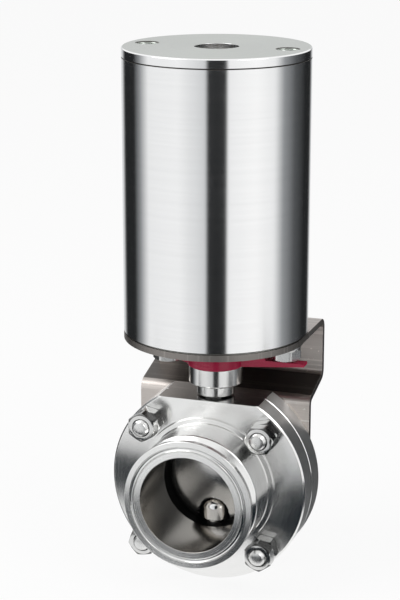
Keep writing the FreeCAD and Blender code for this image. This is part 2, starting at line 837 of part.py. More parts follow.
def bottom_cap():
    """Turn the lower cap with its boss, spigot, ring groove and shaft bore, and drill it."""
    body = new_body("bottom_cap")
    low = "bottom_cap_top - ring_offset - 2 * ring_section"
    high = "bottom_cap_top - ring_offset"
    turned(body, "XZ_Plane", [
        ("shaft_bush_radius", "boss_base"),
        ("bracket_hole_radius - boss_fit", "boss_base"),
        ("bracket_hole_radius - boss_fit", "plate_top"),
        ("tube_radius - cap_lip_inset", "plate_top"),
        ("tube_radius - cap_lip_inset", "tube_foot"),
        ("spigot_radius", "tube_foot"),
        ("spigot_radius", low),
        ("ring_seat_radius", low),
        ("ring_seat_radius", high),
        ("spigot_radius", high),
        ("spigot_radius", "bottom_cap_top - cap_edge"),
        ("spigot_radius - cap_edge", "bottom_cap_top"),
        ("shaft_bush_radius", "bottom_cap_top"),
    ])
    threads = new_sketch(body, "XY_Plane", "plate_top")
    for across, along in mount_spots():
        round_mark(threads, "bolt_radius + thread_clearance", across, along)
    pocket(body, threads, "mount_bolt_depth + overrun", reverse=True)
    heads = new_sketch(body, "XY_Plane", "plate_top")
    passages = new_sketch(body, "XY_Plane", "plate_top")
    for along in ("rod_offset", "-rod_offset"):
        round_mark(heads, "tie_head_radius + hole_clearance", "0", along)
        round_mark(passages, "tie_radius + hole_clearance / 2", "0", along)
    pocket(body, heads, "tie_head_height + hole_clearance", reverse=True)
    pocket(body, passages, "bottom_cap_height + overrun", reverse=True)
    return node(body, "bottom_cap")


def cylinder_tube():
    """Turn the tube that shows, with its breather hole low at the back."""
    body = new_body("cylinder_tube")
    turned(body, "XZ_Plane", ring_corners("tube_bore", "tube_radius", "tube_foot", "rim_base - cap_seam"))
    hole = new_sketch(body, "XZ_Plane")
    round_mark(hole, "vent_radius + thread_clearance", "0", "plate_top + vent_height")
    pocket(body, hole, "tube_radius + overrun")
    return node(body, "cylinder_tube")


def vent_plug():
    """Press a sintered breather plug into the tube's hole."""
    plug = cylinder("vent_radius", "tube_wall", "vent")
    doc.recompute()
    rounded = doc.addObject("Part::Chamfer", "vent_round")
    rounded.Base = plug
    rounded.Edges = [(3, value("vent_edge"), value("vent_edge"))]
    spots = [("0", "tube_bore", "plate_top + vent_height")]
    group("breather_plug", spots, rounded, (1, 0, 0), -90)


def top_cap():
    """Turn the upper cap, flush with the tube, with ports, centre hole and shaft bearing bore."""
    body = new_body("top_cap")
    low = "top_cap_base + ring_offset - 2 * ring_section"
    high = "top_cap_base + ring_offset"
    turned(body, "XZ_Plane", [
        ("head_bush_radius", "top_cap_base"),
        ("spigot_radius - cap_edge", "top_cap_base"),
        ("spigot_radius", "top_cap_base + cap_edge"),
        ("spigot_radius", low),
        ("ring_seat_radius", low),
        ("ring_seat_radius", high),
        ("spigot_radius", high),
        ("spigot_radius", "rim_base"),
        ("tube_radius", "rim_base"),
        ("tube_radius", "actuator_top - cap_edge"),
        ("tube_radius - cap_edge", "actuator_top"),
        ("centre_hole_radius + cap_edge / 2", "actuator_top"),
        ("centre_hole_radius", "actuator_top - cap_edge / 2"),
        ("centre_hole_radius", "head_floor"),
        ("head_bush_radius", "head_floor"),
    ])
    for side in ("", "-"):
        bore_port(body, side)
    threads = new_sketch(body, "XY_Plane", "top_cap_base")
    for along in ("rod_offset", "-rod_offset"):
        round_mark(threads, "rod_radius + thread_clearance", "0", along)
    pocket(body, threads, "rod_thread", reverse=True)
    return node(body, "top_cap")


def bore_port(body, side):
    """Bore one threaded air port and its narrower passage to the chamber."""
    across = f"{side}port_spread"
    mouth = round_mark(new_sketch(body, "XY_Plane", "actuator_top"), "port_radius", across)
    pocket(body, mouth, "port_depth")
    passage = round_mark(new_sketch(body, "XY_Plane", "actuator_top"), "port_passage_radius", across)
    pocket(body, passage, "top_cap_height + overrun")


def cap_rings():
    """Lay the O-rings in the grooves of both caps."""
    centre = "spigot_radius - ring_section - seat_clearance"
    section = "ring_section - ring_clearance"
    for name, level in (("bottom_cap_ring", "bottom_cap_top - ring_offset - ring_section"),
                        ("top_cap_ring", "top_cap_base + ring_offset - ring_section")):
        node(round_ring(name, centre, level, section), name)


def guide_rods():
    """Tie the caps with two rods that also keep the piston from turning."""
    length = "top_cap_base + rod_thread - bottom_cap_top - rod_end_gap"
    bore = cylinder("tie_radius + thread_clearance", "tie_depth + overrun", "rod_bore")
    rod = cut(cylinder("rod_radius", length, "rod"), bore, "guide_rod")
    spots = [("0", side + "rod_offset", "bottom_cap_top") for side in ("", "-")]
    group("guide_rods", spots, rod)
    head = place(cylinder("tie_head_radius", "tie_head_height", "tie_head"), z="-tie_head_height")
    key = doc.addObject("Part::Prism", "tie_key")
    key.Polygon = 6
    bind(key, Circumradius="tie_key_radius", Height="tie_head_height / 2")
    place(key, z="-tie_head_height")
    grip = "bottom_cap_height - tie_head_height - hole_clearance"
    shank = cylinder("tie_radius", f"{grip} + tie_depth", "tie_shank")
    screw = cut(fused([head, shank], "tie_blank"), key, "tie_screw")
    seat = "plate_top + tie_head_height + hole_clearance"
    seats = [("0", side + "rod_offset", seat) for side in ("", "-")]
    group("tie_screws", seats, screw)


# Shaft line

def shaft_bearings():
    """Turn the bushes, seals and thrust washer that carry the output shaft."""
    inner = "journal_radius + shaft_clearance"
    turned_piece("shaft_wiper", ring_corners(inner, "shaft_bush_radius - thread_clearance",
                                             "boss_base", "boss_base + wiper_height"))
    turned_piece("lower_shaft_bush", ring_corners(inner, "shaft_bush_radius - thread_clearance",
                                                  "boss_base + wiper_height", "bottom_cap_top"))
    turned_piece("thrust_washer", ring_corners(inner, "thrust_radius", "bottom_cap_top", "thrust_top"))
    wide = "head_bush_radius - thread_clearance"
    inner = "shaft_radius + shaft_clearance"
    between = "top_cap_base + head_seal_height"
    turned_piece("upper_shaft_seal", ring_corners(inner, wide, "top_cap_base", between))
    turned_piece("upper_shaft_bush", ring_corners(inner, wide, between, "head_floor - head_bush_gap"))


def output_shaft():
    """Turn the hollow shaft, square its foot, and cut the two helical slots that the rollers run in."""
    body = new_body("output_shaft")
    edge = "cap_edge"
    turned(body, "XZ_Plane", [
        ("0", "coupling_top"),
        ("journal_radius", "coupling_top"),
        ("journal_radius", "thrust_top"),
        ("shaft_radius", "thrust_top"),
        ("shaft_radius", f"shaft_top - {edge}"),
        (f"shaft_radius - {edge}", "shaft_top"),
        ("shaft_bore_radius", "shaft_top"),
        ("shaft_bore_radius", "shaft_bore_floor"),
        ("0", "shaft_bore_floor"),
    ])
    foot = square(new_sketch(body, "XY_Plane", "shaft_foot"), "shaft_square")
    padded(body, foot, "coupling_top - shaft_foot")
    shaft = cut(body, cam_slots(), "cam_shaft")
    return node(shaft, "output_shaft")


def cam_slots():
    """Sweep the room of both rollers along a left-handed helix, a quarter turn over the stroke.

    The sweep's own ends are level. Two rounds at each end open them to the rollers' full room.
    """
    helix = doc.addObject("Part::Helix", "cam_helix")
    helix.LocalCoord = "Left-handed"
    bind(helix, Pitch="4 * stroke", Height="stroke", Radius="shaft_radius")
    section = doc.addObject("Sketcher::SketchObject", "cam_section")
    half = "(slot_radius * sqrt(1 + shaft_radius * shaft_radius / (cam_lead * cam_lead)))"
    outline(section, [("-slot_reach", f"-{half}"), ("slot_reach", f"-{half}"),
                      ("slot_reach", half), ("-slot_reach", half)])
    sweep = doc.addObject("Part::Sweep", "cam_sweep")
    sweep.Sections = [section]
    sweep.Spine = (helix, [])
    sweep.Solid = True
    sweep.Frenet = True
    place(sweep, z="pin_low")
    ends = []
    for share in CAM_ROUNDS:
        end = cylinder("slot_radius", "2 * slot_reach", "cam_end")
        swing = FreeCAD.Rotation(FreeCAD.Vector(0, 0, 1), -QUARTER * share)
        turn = swing * FreeCAD.Rotation(FreeCAD.Vector(0, 1, 0), 90)
        start = turn.multVec(FreeCAD.Vector(0, 0, -value("slot_reach")))
        end.Placement = FreeCAD.Placement(start, turn)
        end.setExpression(".Placement.Base.z", bound(f"pin_low + {share} * stroke"))
        ends.append(end)
    return place(fused([sweep] + ends, "cam_slots"), axis=(0, 0, 1), angle=90)


def shaft_plug():
    """Press a plug into the shaft's open head, with a screwdriver slot."""
    body = new_body("shaft_plug")
    turned(body, "XZ_Plane", [
        ("0", "plug_base"),
        ("shaft_bore_radius - thread_clearance", "plug_base"),
        ("shaft_bore_radius - thread_clearance", "shaft_top - cap_edge"),
        ("shaft_bore_radius - cap_edge", "shaft_top"),
        ("0", "shaft_top"),
    ])
    slot = new_sketch(body, "XY_Plane", "shaft_top")
    side = "(plug_slot_width / 2)"
    outline(slot, [("-shaft_radius", f"-{side}"), ("shaft_radius", f"-{side}"),
                   ("shaft_radius", side), ("-shaft_radius", side)])
    pocket(body, slot, "plug_slot_depth")
    return node(body, "shaft_plug")


# Piston group

def piston():
    """Turn the piston with its ring grooves and long skirt, lighten it and bore it for rods and pin."""
    body = new_body("piston")
    turned(body, "XZ_Plane", [
        ("piston_bore", "skirt_foot"),
        ("skirt_radius", "skirt_foot"),
        ("skirt_radius", "piston_base"),
        ("piston_radius", "piston_base"),
        ("piston_radius", "wear_low"),
        ("wear_seat", "wear_low"),
        ("wear_seat", "wear_high"),
        ("piston_radius", "wear_high"),
        ("piston_radius", "seal_low"),
        ("seal_seat", "seal_low"),
        ("seal_seat", "seal_high"),
        ("piston_radius", "seal_high"),
        ("piston_radius", "piston_top - piston_edge"),
        ("piston_radius - piston_edge", "piston_top"),
        ("inner_seal_seat", "piston_top"),
        ("inner_seal_seat", "inner_seal_base"),
        ("piston_bore", "inner_seal_base"),
    ])
    rods = new_sketch(body, "XY_Plane", "piston_top + overrun")
    for along in ("rod_offset", "-rod_offset"):
        round_mark(rods, "guide_bush_radius + thread_clearance", "0", along)
    pocket(body, rods, "piston_thickness + 2 * overrun")
    pin = round_mark(new_sketch(body, "YZ_Plane"), "pin_radius + thread_clearance", "0", "pin_height")
    pocket(body, pin, "4 * skirt_radius", both=True)
    return node(body, "piston")


def piston_rings():
    """Turn the piston's seal, wear ring and inner seal, and the rods' guide bushes."""
    rub = "tube_bore - shaft_clearance"
    for name, inner, outer, low, high in (
            ("piston_seal", "seal_seat + thread_clearance", rub, "seal_low", "seal_high"),
            ("piston_wear_ring", "wear_seat + thread_clearance", rub, "wear_low", "wear_high"),
            ("piston_inner_seal", "piston_bore", "inner_seal_seat - thread_clearance",
             "inner_seal_base", "piston_top")):
        turned_piece(name, ring_corners(inner, outer, f"{low} + groove_play", f"{high} - groove_play"))
    bush = cut(cylinder("guide_bush_radius", "piston_thickness", "bush_blank"),
               cylinder("rod_radius + shaft_clearance", "piston_thickness", "bush_hole"), "guide_bush")
    spots = [("0", side + "rod_offset", "piston_base") for side in ("", "-")]
    group("guide_bushes", spots, bush)


def cam_follower():
    """Set the cross pin through the skirt, its rollers in the slots, and the ring that keeps it in."""
    pin = cylinder("pin_radius", "2 * pin_half", "pin")
    group("cross_pin", [("-pin_half", "0", "pin_height")], pin, (0, 1, 0), 90)
    roller = cut(cylinder("roller_radius", "roller_length", "roller_blank"),
                 cylinder("pin_radius + thread_clearance", "roller_length", "roller_hole"), "roller")
    spots = [("roller_end - roller_length", "0", "pin_height"), ("-roller_end", "0", "pin_height")]
    group("cam_rollers", spots, roller, (0, 1, 0), 90)
    low = "pin_height - retainer_height / 2"
    high = "pin_height + retainer_height / 2"
    inner = "skirt_radius + thread_clearance"
    turned_piece("pin_retainer", ring_corners(inner, "skirt_radius + retainer_thickness", low, high))


def return_spring():
    """Wind the spring of square wire between the bottom cap and the piston."""
    path = doc.addObject("Part::Helix", "spring_helix")
    bind(path, Radius="spring_radius", Pitch="coil_height / spring_turns", Height="coil_height")
    section = doc.addObject("Sketcher::SketchObject", "spring_section")
    section.Placement = FreeCAD.Placement(FreeCAD.Vector(), FreeCAD.Rotation(FreeCAD.Vector(1, 0, 0), 90))
    inner = "spring_radius - spring_wire"
    outer = "spring_radius + spring_wire"
    outline(section, [(inner, "-spring_wire"), (outer, "-spring_wire"),
                      (outer, "spring_wire"), (inner, "spring_wire")])
    coil = doc.addObject("Part::Sweep", "spring_coil")
    coil.Sections = [section]
    coil.Spine = (path, [])
    coil.Solid = True
    coil.Frenet = True
    place(coil, z="bottom_cap_top + spring_wire")
    return node(coil, "return_spring")


# Coupling and pointer

def coupling():
    """Turn the coupling with its two collars and broach its square sockets."""
    body = new_body("coupling")
    turned(body, "XZ_Plane", [
        ("0", "coupling_foot"),
        ("small_collar_radius - small_collar_edge", "coupling_foot"),
        ("small_collar_radius", "coupling_foot + small_collar_edge"),
        ("small_collar_radius", "groove_foot"),
        ("collar_groove_radius", "groove_foot"),
        ("collar_groove_radius", "collar_foot"),
        ("collar_radius - collar_edge", "collar_foot"),
        ("collar_radius", "collar_foot + collar_edge"),
        ("collar_radius", "pointer_base"),
        ("coupling_neck_radius", "pointer_base"),
        ("coupling_neck_radius", "coupling_top"),
        ("0", "coupling_top"),
    ])
    low = square(new_sketch(body, "XY_Plane", "coupling_foot"), "stem_square + 2 * socket_play")
    pocket(body, low, "socket_roof - coupling_foot", reverse=True)
    high = square(new_sketch(body, "XY_Plane", "coupling_top"), "shaft_square + 2 * socket_play")
    pocket(body, high, "coupling_top - socket_roof - socket_web")
    screw = new_sketch(body, "XZ_Plane")
    round_mark(screw, "grub_radius + thread_clearance", "0", "grub_level")
    pocket(body, screw, "collar_radius + overrun")
    return node(body, "coupling")


def pointer():
    """Mould the pointer: a hub, a long arm that thins to its tip, and a short tail."""
    body = new_body("pointer")
    turned(body, "XZ_Plane", [
        ("pointer_bore", "pointer_base"),
        ("pointer_radius - pointer_edge", "pointer_base"),
        ("pointer_radius", "pointer_base + pointer_edge"),
        ("pointer_radius", "pointer_top"),
        ("pointer_bore", "pointer_top"),
    ])
    start = "(pointer_bore + overrun)"
    foot = "pointer_base + pointer_foot_rise"
    arm = outline(new_sketch(body, "XZ_Plane"), [
        (start, foot),
        ("pointer_length", "pointer_base + pointer_tip_rise"),
        ("pointer_length", "arm_top"),
        ("pointer_wall + overrun", "arm_top"),
        ("pointer_wall", "pointer_top"),
        (start, "pointer_top"),
    ])
    padded(body, arm, "pointer_width", both=True)
    tail = outline(new_sketch(body, "XZ_Plane"), [
        (f"-{start}", foot),
        (f"-{start}", "pointer_top"),
        ("-tail_length", "pointer_top"),
        ("-tail_length", "pointer_base + tail_rise"),
    ])
    padded(body, tail, "2 * pointer_width", both=True)
    screw = new_sketch(body, "XZ_Plane")
    round_mark(screw, "grub_radius + thread_clearance", "0", "pointer_middle")
    pocket(body, screw, "pointer_radius + overrun")
    return node(body, "pointer")


def grub_screws():
    """Lock the pointer on the coupling, and the coupling on the stem's square."""
    for name, seat, level, length in (
            ("pointer_screw", "coupling_neck_radius", "pointer_middle", "grub_length"),
            ("coupling_screw", "stem_square / 2", "grub_level",
             "collar_radius - stem_square / 2 - grub_inset")):
        form = cylinder("grub_radius", length, name + "_form")
        key = doc.addObject("Part::Prism", name + "_key")
        key.Polygon = 6
        bind(key, Circumradius="grub_key_radius", Height="grub_key_depth + overrun")
        place(key, z=f"{length} - grub_key_depth")
        group(name, [("0", seat, level)], cut(form, key, name + "_cut"), (1, 0, 0), -90)


body_half("front_body", -1)
body_half("rear_body", 1)
seat_ring()
stem_bushes()
valve_disc()
flange_bolts()
flange_nuts()
bracket()
mount_fasteners()
bottom_cap()
cylinder_tube()
vent_plug()
top_cap()
cap_rings()
guide_rods()
shaft_bearings()
output_shaft()
shaft_plug()
piston()
piston_rings()
cam_follower()
return_spring()
coupling()
pointer()
grub_screws()
doc.recompute()

# Every object has to be sound before anything is written
for item in doc.Objects:
    if {"Invalid", "Error"} & set(item.State):
        raise RuntimeError(f"{item.Label} failed: {item.State}")
for piece in NODES:
    if piece.Shape.isNull() or not piece.Shape.isValid() or not piece.Shape.Solids:
        raise RuntimeError(f"{piece.Label} has no sound shape")
for piece in NODES:
    piece.Shape.exportStep(f"parts/{piece.Label}.step")
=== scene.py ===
# Looks of a pneumatic butterfly valve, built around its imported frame.
# Profiles are in millimetres about the valve's centre, where pipe axis and stem axis cross.
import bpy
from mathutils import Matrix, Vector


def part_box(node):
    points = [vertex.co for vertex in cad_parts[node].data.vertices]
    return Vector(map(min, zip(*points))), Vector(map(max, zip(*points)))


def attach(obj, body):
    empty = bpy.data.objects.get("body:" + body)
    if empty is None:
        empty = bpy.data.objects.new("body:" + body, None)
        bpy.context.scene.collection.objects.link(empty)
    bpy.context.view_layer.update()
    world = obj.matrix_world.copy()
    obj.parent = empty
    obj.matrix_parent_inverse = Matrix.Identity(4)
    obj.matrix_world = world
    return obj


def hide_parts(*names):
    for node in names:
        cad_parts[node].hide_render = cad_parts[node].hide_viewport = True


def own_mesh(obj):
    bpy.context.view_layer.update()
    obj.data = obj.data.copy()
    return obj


bl_info = {
    "name": "Pneumatic butterfly valve",
    "version": (1, 0, 0),
    "blender": (4, 5, 0),
    "location": "3D View > Sidebar > Valve",
    "description": "Builds the pieces and finishes of a pneumatic butterfly valve around its frame",
    "category": "Object",
}

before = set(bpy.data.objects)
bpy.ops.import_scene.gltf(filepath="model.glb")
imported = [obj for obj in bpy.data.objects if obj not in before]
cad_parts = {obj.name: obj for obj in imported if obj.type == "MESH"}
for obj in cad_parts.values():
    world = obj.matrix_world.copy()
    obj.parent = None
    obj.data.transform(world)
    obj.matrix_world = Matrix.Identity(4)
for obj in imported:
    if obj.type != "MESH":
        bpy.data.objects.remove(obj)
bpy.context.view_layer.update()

import math

import bmesh
import bpy
from bpy.props import FloatProperty, FloatVectorProperty, PointerProperty
from mathutils import Matrix, Vector

MM = 0.001
FLANGE_LOW, FLANGE_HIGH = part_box("front_body")
# The pipe's middle, where both body halves meet, and the stem axis stands
CENTRE = Vector((0, (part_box("rear_body")[1].y + FLANGE_LOW.y) / 2, 0))
# Turns that lay a piece made about its own Z along the pipe, facing back and facing front
ALONG_PIPE = Matrix.Rotation(math.radians(-90), 4, "X")
FACING_FRONT = Matrix.Rotation(math.radians(90), 4, "X")

# Measures that more than one piece keeps to
BORE = 23.8
HALF_FACE = 43.0
FLAT_HEIGHT = 42.5
FLANGE_DEPTH = 12.6
BOLT_OFFSET = 29.698
BOLT_SPOTS = [(x * BOLT_OFFSET, z * BOLT_OFFSET) for z in (-1, 1) for x in (-1, 1)]
BOLT_WAY = 4.5
HEAD_HEIGHT = 5.3
NUT_HEIGHT = 6.5
THREAD_PITCH, THREAD_DEPTH = 1.25, 0.62
SHEET = 3.0
PLAIN_WASHER = 1.6
SPRING_WASHER = 2.0
GRUB_WAY = 2.02
THROUGH = 60.0


# Sizes, finishes and studio

def length_choice(name, description, default):
    return FloatProperty(name=name, description=description, default=default,
                         subtype="DISTANCE", unit="LENGTH")


def colour_choice(name, description, default):
    return FloatVectorProperty(name=name, description=description, default=default,
                               subtype="COLOR", min=0, max=1)


class ValveSizes(bpy.types.PropertyGroup):
    """Sizes of the pieces that are turned or bent for this valve."""
    flange_radius: length_choice("Flange radius", "Outer radius of both body halves", FLANGE_HIGH.x)
    tube_radius: length_choice("Tube radius", "Outer radius of the actuator's tube",
                               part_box("cylinder_tube")[1].x)
    plate_top: length_choice("Plate top", "Height of the bracket's upper face over the pipe axis",
                             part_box("bracket")[1].z)
    cap_top: length_choice("Cap top", "Height of the actuator's upper face over the pipe axis",
                           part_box("top_cap")[1].z)
    hex_width: length_choice("Spanner width", "Width over the flats of nuts and bolt heads", 0.013)
    bolt_radius: length_choice("Bolt radius", "Outer radius of the bolts' threads", 0.004)


class ValveFinishes(bpy.types.PropertyGroup):
    """Colours of the metals, rubbers and plastics."""
    body: colour_choice("Body steel", "Turned steel of the body halves", (0.92, 0.92, 0.91))
    tube: colour_choice("Tube steel", "Polished steel of the actuator's tube", (0.95, 0.955, 0.955))
    cap: colour_choice("Cap steel", "Satin steel of the actuator's caps", (0.50, 0.52, 0.50))
    sheet: colour_choice("Sheet steel", "Brushed steel of the bracket", (0.47, 0.435, 0.41))
    # The bore's darker, warmer colour than the body is painted shade inside the pipe ends
    bore: colour_choice("Bore steel", "Duller, warmer steel inside the pipe ends", (0.56, 0.535, 0.50))
    fastener: colour_choice("Fastener steel", "Bright steel of bolts and nuts", (0.80, 0.80, 0.79))
    pointer: colour_choice("Pointer", "Crimson of the moulded pointer", (0.35, 0.004, 0.044))
    rubber: colour_choice("Seat rubber", "Black of the seat ring", (0.004, 0.004, 0.004))
    bronze: colour_choice("Bronze", "Bearing bronze of the bushes", (0.62, 0.42, 0.2))


class ValveStudio(bpy.types.PropertyGroup):
    """Camera, lamps and floor."""
    lens: FloatProperty(name="Lens", description="Focal length for a 36 mm sensor", default=109.32,
                        subtype="DISTANCE_CAMERA", unit="CAMERA")
    key_power: FloatProperty(name="Key lamp", description="Power of the large soft lamp", default=9.0,
                             subtype="POWER", unit="POWER")
    ambient: FloatProperty(name="Ambient", description="Strength of the even light from all round",
                           default=0.62, min=0)
    floor_tone: FloatProperty(name="Floor tone", description="Paleness of the floor", default=0.9,
                              subtype="FACTOR", min=0, max=1)


def size(name):
    """Give one of the valve's sizes in millimetres."""
    return getattr(bpy.context.scene.valve_sizes, name) / MM


def levels_of(node):
    """Give a node's lowest and highest level in millimetres."""
    return [corner.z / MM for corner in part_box(node)]


# Shader maths

class Wire:
    """A socket whose arithmetic adds Math nodes."""

    def __init__(self, paint, socket):
        self.paint = paint
        self.socket = socket

    def joined(self, operation, *others, clamp=False):
        values = dict(enumerate((self, *others)))
        return self.paint.add("Math", values, operation=operation, use_clamp=clamp)

    def __add__(self, other):
        return self.joined("ADD", other)

    __radd__ = __add__

    def __sub__(self, other):
        return self.joined("SUBTRACT", other)

    def __rsub__(self, other):
        return self.paint.add("Math", {0: other, 1: self}, operation="SUBTRACT")

    def __mul__(self, other):
        return self.joined("MULTIPLY", other)

    __rmul__ = __mul__

    def root(self):
        return self.joined("SQRT")

    def clamped(self):
        return self.joined("ADD", 0.0, clamp=True)


def scaled(colour, by):
    return tuple(min(1.0, part * by) for part in colour)


class Paint:
    """The node tree of a material, or of the light all round."""

    def __init__(self, name, light=False):
        self.owner = (bpy.data.worlds if light else bpy.data.materials).new(name)
        self.owner.use_nodes = True
        self.tree = self.owner.node_tree
        self.tree.nodes.clear()
        self.output = self.tree.nodes.new("ShaderNodeOutput" + ("World" if light else "Material"))

    def add(self, kind, values=None, output=0, **settings):
        """Add a node: its settings first, then the values or links of its sockets."""
        node = self.tree.nodes.new("ShaderNode" + kind)
        for key, setting in settings.items():
            setattr(node, key, setting)
        for key, given in (values or {}).items():
            socket = node.inputs[key]
            if isinstance(given, Wire):
                self.tree.links.new(given.socket, socket)
            elif socket.type == "RGBA" and len(given) == 3:
                socket.default_value = (*given, 1.0)
            else:
                socket.default_value = given
        return Wire(self, node.outputs[output])

    def place(self):
        return self.add("TexCoord", output="Object")

    def parts(self, vector):
        """Split a vector into its three values."""
        outputs = self.add("SeparateXYZ", {0: vector}).socket.node.outputs
        return [Wire(self, outputs[index]) for index in range(3)]

    def vector(self, x, y, z):
        return self.add("CombineXYZ", {0: x, 1: y, 2: z})

    def noise(self, vector, scale=1.0, detail=3.0, rough=0.5):
        """Give noise of one scale, or drawn out by three."""
        if isinstance(scale, tuple):
            vector = self.add("VectorMath", {0: vector, 1: scale}, operation="MULTIPLY")
            scale = 1.0
        return self.add("TexNoise", {"Vector": vector, "Scale": scale, "Detail": detail,
                                     "Roughness": rough})

    def cells(self, vector, scale, feature):
        return self.add("TexVoronoi", {"Vector": vector, "Scale": scale}, feature=feature)

    def ramp(self, share, stops):
        wire = self.add("ValToRGB", {0: share})
        ramp = wire.socket.node.color_ramp.elements
        while len(ramp) < len(stops):
            ramp.new(0.5)
        for stop, (position, colour) in zip(ramp, stops):
            stop.position = position
            stop.color = (*colour, 1.0)
        return wire

    def peaks(self, share, low, high):
        """Keep only what stands over low, whole from high on."""
        return self.ramp(share, [(low, (0, 0, 0)), (high, (1, 1, 1))])

    def mixed(self, share, first, second):
        return self.add("Mix", {0: share, 6: first, 7: second}, 2, data_type="RGBA")

    def tone(self, share, colour, first, second):
        """Mix a colour between two strengths of itself."""
        return self.mixed(share, scaled(colour, first), scaled(colour, second))

    def glow(self, colour):
        return self.add("Emission", {"Color": colour, "Strength": 1.0})

    def surface(self, tone, roughness, height, relief, depth, **more):
        """Close the tree with a principled shader; underscores in names stand for spaces."""
        bump = self.add("Bump", {"Height": height, "Strength": relief, "Distance": depth})
        values = {"Base Color": tone, "Roughness": roughness, "Normal": bump}
        values |= {key.replace("_", " "): given for key, given in more.items()}
        return self.closed(self.add("BsdfPrincipled", values))

    def shown(self, plain, bright, rays, most=1.0):
        """Close the tree with a plain shader, and a bright one for the rays that show it."""
        share = sum(self.add("LightPath", output=f"Is {ray} Ray") for ray in rays)
        return self.closed(self.add("MixShader", {0: share.clamped() * most, 1: plain, 2: bright}))

    def closed(self, shader):
        """Send a shader to the output and give the finished material or world."""
        self.tree.links.new(shader.socket, self.output.inputs["Surface"])
        return self.owner


def turned_metal(name, colour, rough=0.2, spread=0.5, relief=0.5, grooves=2600.0, wear=0.06):
    """Metal with fine rings left by the lathe about its own Z, soft smudges and faint handling marks."""
    paint = Paint(name)
    spot = paint.place()
    x, y, z = paint.parts(spot)
    radius = (x * x + y * y).root()
    rings = paint.noise(paint.vector(radius * grooves, z * grooves, 0.0), detail=4.0, rough=0.65)
    broad = paint.noise(paint.vector(radius * 260.0, z * 260.0, 3.0), detail=2.0)
    smudge = paint.noise(spot, 38.0, detail=4.0, rough=0.6)
    marks = paint.noise(spot, (900.0, 900.0, 120.0), detail=2.0)
    shade = (rings * 0.5 + broad * 0.3 + smudge * 0.4 - 0.1).clamped()
    roughness = rings * 0.14 + smudge * 0.10 + marks * 0.04 + (rough - 0.14)
    return paint.surface(paint.tone(shade, colour, 1 - wear * 2, 1 + wear), roughness,
                         rings * 0.7 + broad * 0.3, relief, 0.00002,
                         Metallic=1.0, Anisotropic=spread, Anisotropic_Rotation=0.25)


def tube_metal(name, colour):
    """Polished tube: very fine lines round it, and long soft unevenness along it."""
    paint = Paint(name)
    spot = paint.place()
    lines = paint.noise(spot, (16.0, 16.0, 5200.0), detail=4.0, rough=0.7)
    bands = paint.noise(spot, (3.0, 3.0, 420.0))
    streaks = paint.noise(spot, (160.0, 160.0, 5.0), detail=2.0)
    smudge = paint.noise(spot, 22.0, detail=4.0)
    shade = (lines * 0.45 + bands * 0.35 + streaks * 0.2 + smudge * 0.15 - 0.08).clamped()
    roughness = lines * 0.10 + bands * 0.05 + smudge * 0.05 + 0.05
    return paint.surface(paint.tone(shade, colour, 0.86, 1.06), roughness,
                         lines * 0.6 + bands * 0.4, 0.35, 0.00001,
                         Metallic=1.0, Anisotropic=0.7, Anisotropic_Rotation=0.25)


def brushed_metal(name, colour, along=(1900.0, 1900.0, 45.0), rough=0.3, spread=0.0):
    """Sheet brushed one way, with a few longer scratches and a warm cast."""
    paint = Paint(name)
    spot = paint.place()
    grain = paint.noise(spot, along, detail=5.0, rough=0.7)
    deep = paint.peaks(paint.noise(spot, tuple(part * 0.3 for part in along), detail=1.0), 0.60, 0.66)
    specks = paint.peaks(paint.noise(spot, 700.0, detail=2.0), 0.70, 0.74)
    cloud = paint.noise(spot, 30.0, detail=4.0)
    tone = paint.tone((grain * 0.7 + cloud * 0.5 - 0.1).clamped(), colour, 0.74, 1.16)
    worn = paint.mixed((deep * 0.4 + specks * 0.7).clamped(), tone, scaled(colour, 1.7))
    return paint.surface(worn, grain * 0.16 + cloud * 0.12 + (rough - 0.12),
                         grain * 0.6 - deep * 0.5, 0.5, 0.00003, Metallic=1.0, Anisotropic=spread)


def machined_metal(name, colour, rough=0.28):
    """Bright machined fasteners with tool marks, tiny dents and random darker patches."""
    paint = Paint(name)
    spot = paint.place()
    marks = paint.noise(spot, 1500.0)
    cloud = paint.noise(spot, 170.0, detail=4.0)
    dents = paint.cells(spot, 420.0, "SMOOTH_F1")
    tone = paint.tone((cloud * 0.8 + marks * 0.3).clamped(), colour, 0.82, 1.08)
    return paint.surface(tone, marks * 0.10 + cloud * 0.12 + (rough - 0.11),
                         marks * 0.5 + dents * 0.4, 0.35, 0.00003, Metallic=1.0)


def sintered_metal(name, colour):
    """Bronze beads pressed together, open between the grains."""
    paint = Paint(name)
    spot = paint.place()
    beads = paint.cells(spot, 2600.0, "F1")
    tone = paint.tone((beads * 1.4).clamped(), colour, 1.15, 0.4)
    rough = paint.noise(spot, 300.0) * 0.2 + 0.4
    return paint.surface(tone, rough, 1.0 - beads, 0.8, 0.0001, Metallic=1.0)


def moulded_plastic(name, colour, rough=0.26):
    """Glossy moulded plastic with faint flow lines and a fine skin."""
    paint = Paint(name)
    spot = paint.place()
    flow = paint.noise(spot, (60.0, 160.0, 260.0), detail=4.0)
    skin = paint.noise(spot, 2600.0, detail=2.0)
    roughness = flow * 0.10 + skin * 0.06 + (rough - 0.08)
    return paint.surface(paint.tone(flow, colour, 0.78, 1.25), roughness, skin * 0.3 + flow * 0.7,
                         0.25, 0.00004, IOR=1.42, Coat_Weight=0.1)


def moulded_rubber(name, colour, rough=0.5, gloss=1.45):
    """Black rubber with a fine moulded grain and a dusty sheen on its high spots."""
    paint = Paint(name)
    spot = paint.place()
    grain = paint.noise(spot, 1900.0)
    dust = paint.noise(spot, 90.0, detail=4.0, rough=0.65)
    tone = paint.tone((dust * 1.3 - 0.4).clamped(), colour, 1.0, 2.6)
    return paint.surface(tone, grain * 0.14 + dust * 0.16 + (rough - 0.15), grain, 0.4, 0.00004,
                         IOR=gloss)


FINISHES = {}


